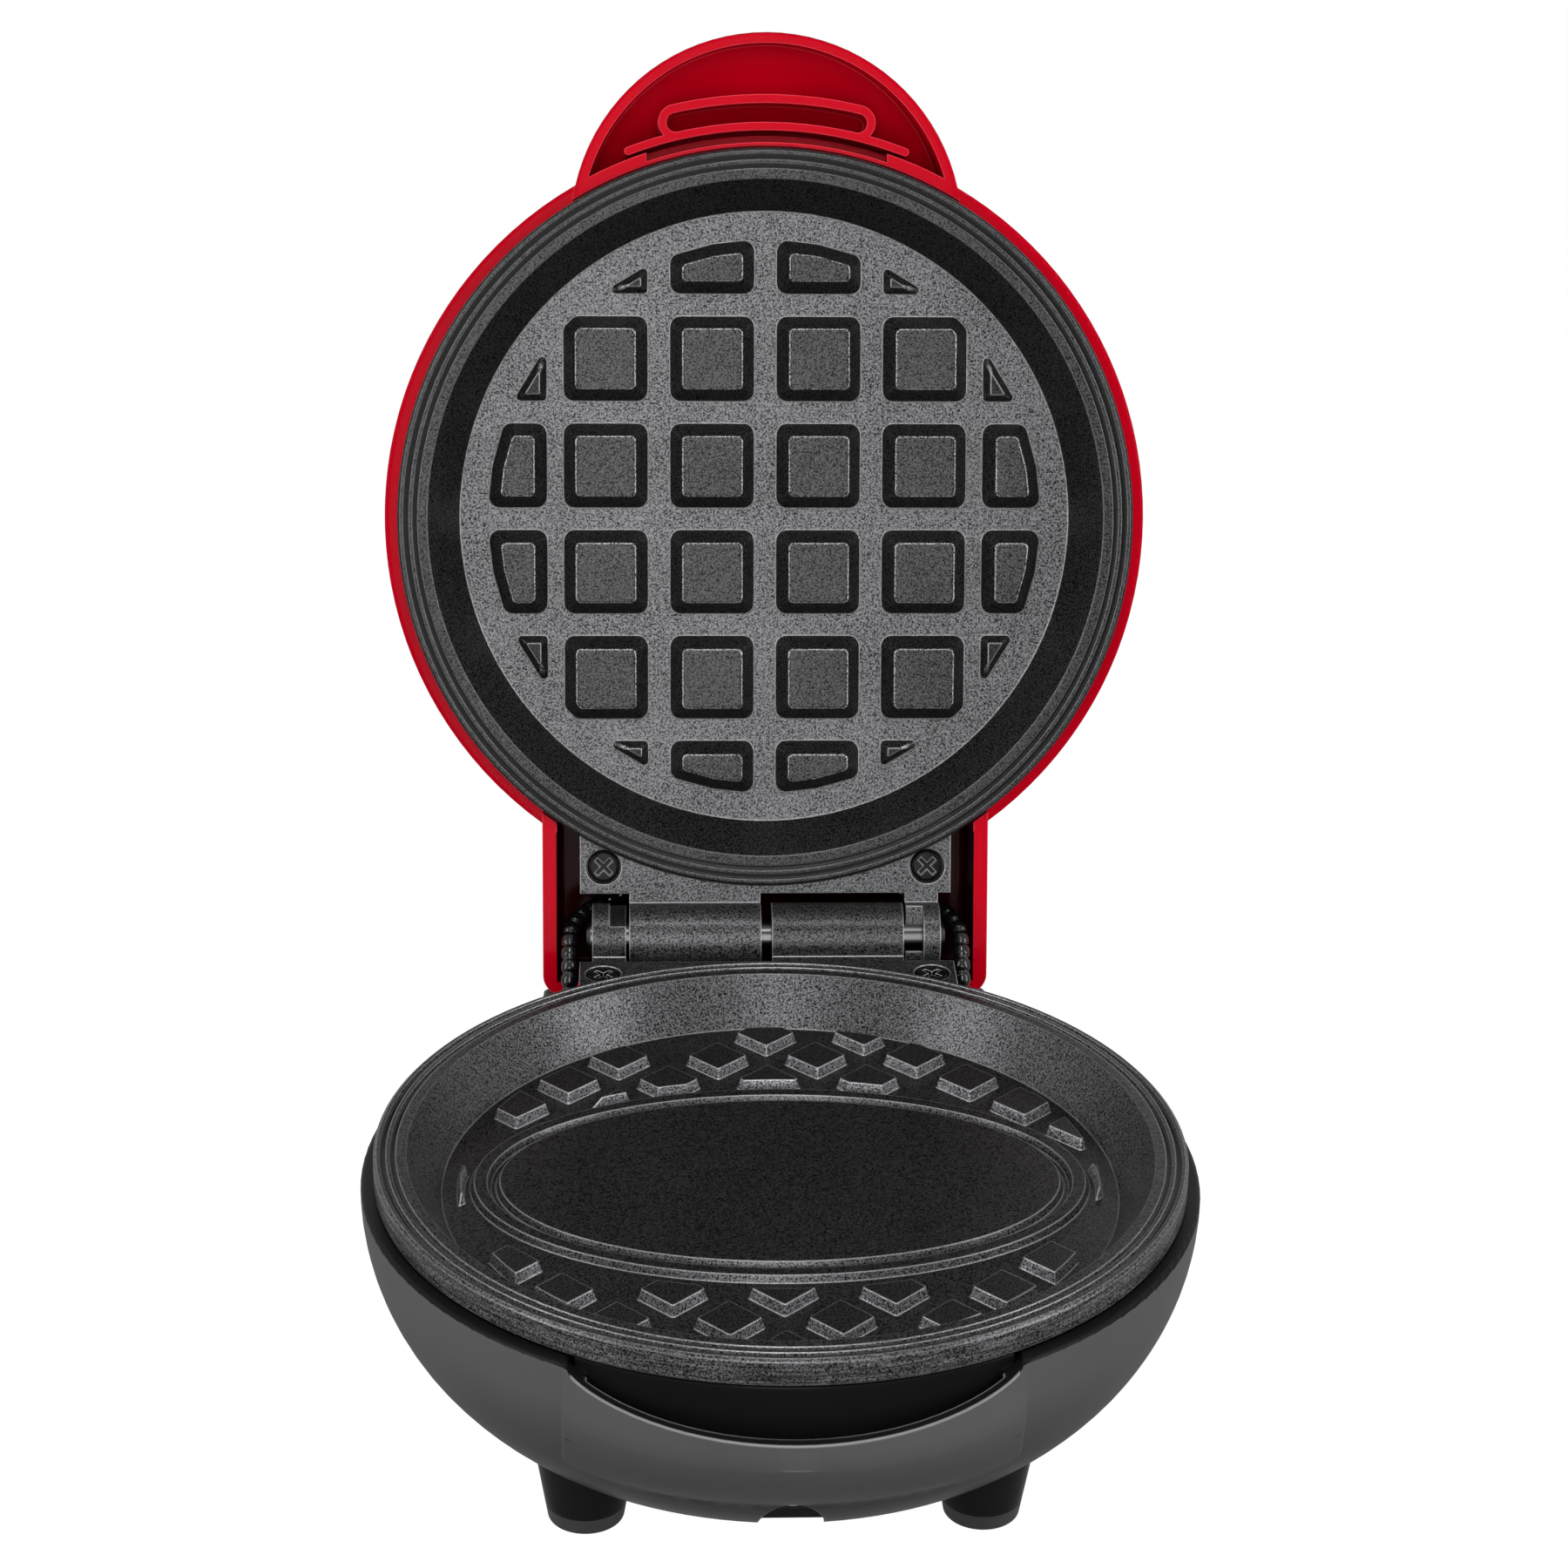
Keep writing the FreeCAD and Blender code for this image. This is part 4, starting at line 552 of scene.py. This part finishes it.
def smooth_faces_tree():
    """Joins the loose triangles and shades them smooth, with creases at sharp edges."""
    tree, start, end = node_group("smooth_faces", [("Crease", "NodeSocketFloat", CREASE)])
    link = tree.links.new
    merge = add(tree, "GeometryNodeMergeByDistance")
    merge.inputs["Distance"].default_value = JOIN_WITHIN
    link(start.outputs["Geometry"], merge.inputs["Geometry"])
    smooth = add(tree, "GeometryNodeSetShadeSmooth", domain="FACE")
    link(merge.outputs["Geometry"], smooth.inputs["Geometry"])
    angle = add(tree, "GeometryNodeInputMeshEdgeAngle")
    sharp = add(tree, "FunctionNodeCompare", data_type="FLOAT", operation="GREATER_THAN")
    link(angle.outputs["Unsigned Angle"], sharp.inputs[0])
    link(start.outputs["Crease"], sharp.inputs[1])
    crease = add(tree, "GeometryNodeSetShadeSmooth", domain="EDGE")
    crease.inputs["Shade Smooth"].default_value = False
    link(smooth.outputs["Geometry"], crease.inputs["Geometry"])
    link(sharp.outputs["Result"], crease.inputs["Selection"])
    link(crease.outputs["Geometry"], end.inputs["Geometry"])
    return tree


def smooth_nodes():
    """Smooth shading; broad faces keep their own direction up to their rounded edges."""
    tree = smooth_faces_tree()
    for node in nodes.values():
        modifier = node.modifiers.new("smooth_faces", "NODES")
        modifier.node_group = tree
        broad = node.modifiers.new("broad_faces", "WEIGHTED_NORMAL")
        broad.mode = "FACE_AREA_WITH_ANGLE"
        broad.keep_sharp = True


# Leads

def beaded_sleeve_tree():
    """Sleeve of short beads along a curve."""
    tree, start, end = node_group("beaded_sleeve", [
        ("Radius", "NodeSocketFloat", LEAD_RADIUS), ("Bead pitch", "NodeSocketFloat", BEAD_PITCH),
        ("Bead depth", "NodeSocketFloat", BEAD_DEPTH), ("Finish", "NodeSocketMaterial", None)])
    link = tree.links.new
    resample = add(tree, "GeometryNodeResampleCurve")
    resample.inputs["Count"].default_value = LEAD_STEPS
    link(start.outputs["Geometry"], resample.inputs["Curve"])
    along = add(tree, "GeometryNodeSplineParameter").outputs["Length"]
    turn = combine(tree, "DIVIDE", combine(tree, "MULTIPLY", along, math.pi), start.outputs["Bead pitch"])
    waist = combine(tree, "POWER", combine(tree, "ABSOLUTE", combine(tree, "COSINE", turn)), BEAD_SHARPNESS)
    swell = combine(tree, "SUBTRACT", 1.0, combine(tree, "MULTIPLY", waist, start.outputs["Bead depth"]))
    radius = combine(tree, "MULTIPLY", swell, start.outputs["Radius"])
    ring = add(tree, "GeometryNodeCurvePrimitiveCircle")
    ring.inputs["Resolution"].default_value = LEAD_SIDES
    ring.inputs["Radius"].default_value = 1.0
    tube = add(tree, "GeometryNodeCurveToMesh")
    link(resample.outputs["Curve"], tube.inputs["Curve"])
    link(ring.outputs["Curve"], tube.inputs["Profile Curve"])
    link(radius, tube.inputs["Scale"])
    tube.inputs["Fill Caps"].default_value = True
    smooth = add(tree, "GeometryNodeSetShadeSmooth")
    link(tube.outputs["Mesh"], smooth.inputs["Geometry"])
    painted = add(tree, "GeometryNodeSetMaterial")
    link(smooth.outputs["Geometry"], painted.inputs["Geometry"])
    link(start.outputs["Finish"], painted.inputs["Material"])
    real = add(tree, "GeometryNodeRealizeInstances")
    link(painted.outputs["Geometry"], real.inputs["Geometry"])
    link(real.outputs["Geometry"], end.inputs["Geometry"])
    return tree


def route_curve(name, points):
    curve = bpy.data.curves.new(name, "CURVE")
    curve.dimensions = "3D"
    curve.resolution_u = 16
    spline = curve.splines.new("NURBS")
    spline.points.add(len(points) - 1)
    for target, point in zip(spline.points, points):
        target.co = (*point, 1.0)
    spline.order_u = 3
    spline.use_endpoint_u = True
    obj = bpy.data.objects.new(name, curve)
    bpy.context.scene.collection.objects.link(obj)
    return obj


def as_mesh_piece(source, name):
    """Plain mesh object of what the source's modifiers make; the source is removed."""
    graph = bpy.context.evaluated_depsgraph_get()
    mesh = bpy.data.meshes.new_from_object(source.evaluated_get(graph), depsgraph=graph)
    mesh.name = name
    bpy.data.objects.remove(source)
    piece = bpy.data.objects.new(name, mesh)
    bpy.context.scene.collection.objects.link(piece)
    return piece


def leads():
    tree = beaded_sleeve_tree()
    for side, word in ((-1, "left"), (1, "right")):
        points = [from_rim(p, side) for p in LEAD_ROUTE]
        route = route_curve("lead_route_" + word, points)
        modifier = route.modifiers.new("beaded_sleeve", "NODES")
        modifier.node_group = tree
        set_input(modifier, "Finish", FINISHES["glossy_sleeve"])
        sleeve = as_mesh_piece(route, "lead_sleeve_" + word)
        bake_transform(sleeve)
        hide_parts("lead_" + word)


# Stage

def seen_rays(tree, in_gloss=1.0):
    """1 for rays from the camera, and a share of it for reflections and rays through glass."""
    path = add(tree, "ShaderNodeLightPath")
    bent = combine(tree, "MAXIMUM", path.outputs["Is Glossy Ray"], path.outputs["Is Transmission Ray"])
    return combine(tree, "MAXIMUM", path.outputs["Is Camera Ray"], combine(tree, "MULTIPLY", bent, in_gloss))


def studio_world():
    """White behind the part, and a weak even light from all round it."""
    world = bpy.data.worlds.new("studio")
    bpy.context.scene.world = world
    world.use_nodes = True
    tree = world.node_tree
    background = next(n for n in tree.nodes if n.type == "BACKGROUND")
    background.inputs["Color"].default_value = (1, 1, 1, 1)
    tree.links.new(mapped(tree, seen_rays(tree), AMBIENT, 1.0, 0.0, 1.0), background.inputs["Strength"])


def floor_white():
    """Matte floor whose own white hides all but the soft shadow."""
    material = bpy.data.materials.new("floor_white")
    material.use_nodes = True
    tree = material.node_tree
    tree.nodes.clear()
    matte = add(tree, "ShaderNodeBsdfDiffuse")
    matte.inputs["Color"].default_value = FLOOR_GREY
    white = add(tree, "ShaderNodeEmission")
    white.inputs["Strength"].default_value = FLOOR_WHITE
    mix = add(tree, "ShaderNodeMixShader")
    tree.links.new(combine(tree, "MULTIPLY", seen_rays(tree, FLOOR_IN_GLOSS), FLOOR_SEEN), mix.inputs["Fac"])
    tree.links.new(matte.outputs[0], mix.inputs[1])
    tree.links.new(white.outputs[0], mix.inputs[2])
    tree.links.new(mix.outputs[0], add(tree, "ShaderNodeOutputMaterial").inputs["Surface"])
    return material


def studio_floor():
    half = FLOOR_HALF
    corners = [(-half, -half, 0), (half, -half, 0), (half, half, 0), (-half, half, 0)]
    mesh = bpy.data.meshes.new("floor")
    mesh.from_pydata(corners, [], [(0, 1, 2, 3)])
    mesh.materials.append(floor_white())
    floor = bpy.data.objects.new("floor", mesh)
    bpy.context.scene.collection.objects.link(floor)


def soft_box(name, azimuth, elevation, distance, width, height, watts):
    """Rectangular soft light that faces the middle of the part."""
    turn, rise = math.radians(azimuth), math.radians(elevation)
    away = Vector((math.sin(turn) * math.cos(rise), -math.cos(turn) * math.cos(rise), math.sin(rise)))
    light = bpy.data.lights.new(name, "AREA")
    light.shape = "RECTANGLE"
    light.size, light.size_y = width, height
    light.energy = watts
    obj = bpy.data.objects.new(name, light)
    bpy.context.scene.collection.objects.link(obj)
    obj.location = LIGHT_TARGET + away * distance
    obj.rotation_euler = away.to_track_quat("Z", "Y").to_euler()


def studio():
    bpy.context.scene.view_settings.view_transform = "Standard"
    studio_world()
    studio_floor()
    for box in SOFT_BOXES:
        soft_box(**box)


def camera():
    """Camera fitted to the photograph's view."""
    data = bpy.data.cameras.new("view")
    data.sensor_width = VIEW_SENSOR
    data.lens = VIEW_LENS
    data.clip_start, data.clip_end = 0.02, 20.0
    turn = (Matrix.Rotation(math.radians(VIEW_TURN), 3, "Z")
            @ Matrix.Rotation(math.radians(VIEW_TILT), 3, "X")
            @ Matrix.Rotation(math.radians(VIEW_ROLL), 3, "Y"))
    right, ahead, up = turn.col[0], turn.col[1], turn.col[2]
    looking = Matrix((right, up, -ahead)).transposed()
    obj = bpy.data.objects.new("view", data)
    bpy.context.scene.collection.objects.link(obj)
    obj.matrix_world = Matrix.Translation(from_rim(VIEW_PLACE)) @ looking.to_4x4()
    bpy.context.scene.camera = obj


camera()
studio()
dress_nodes()
smooth_nodes()
leads()
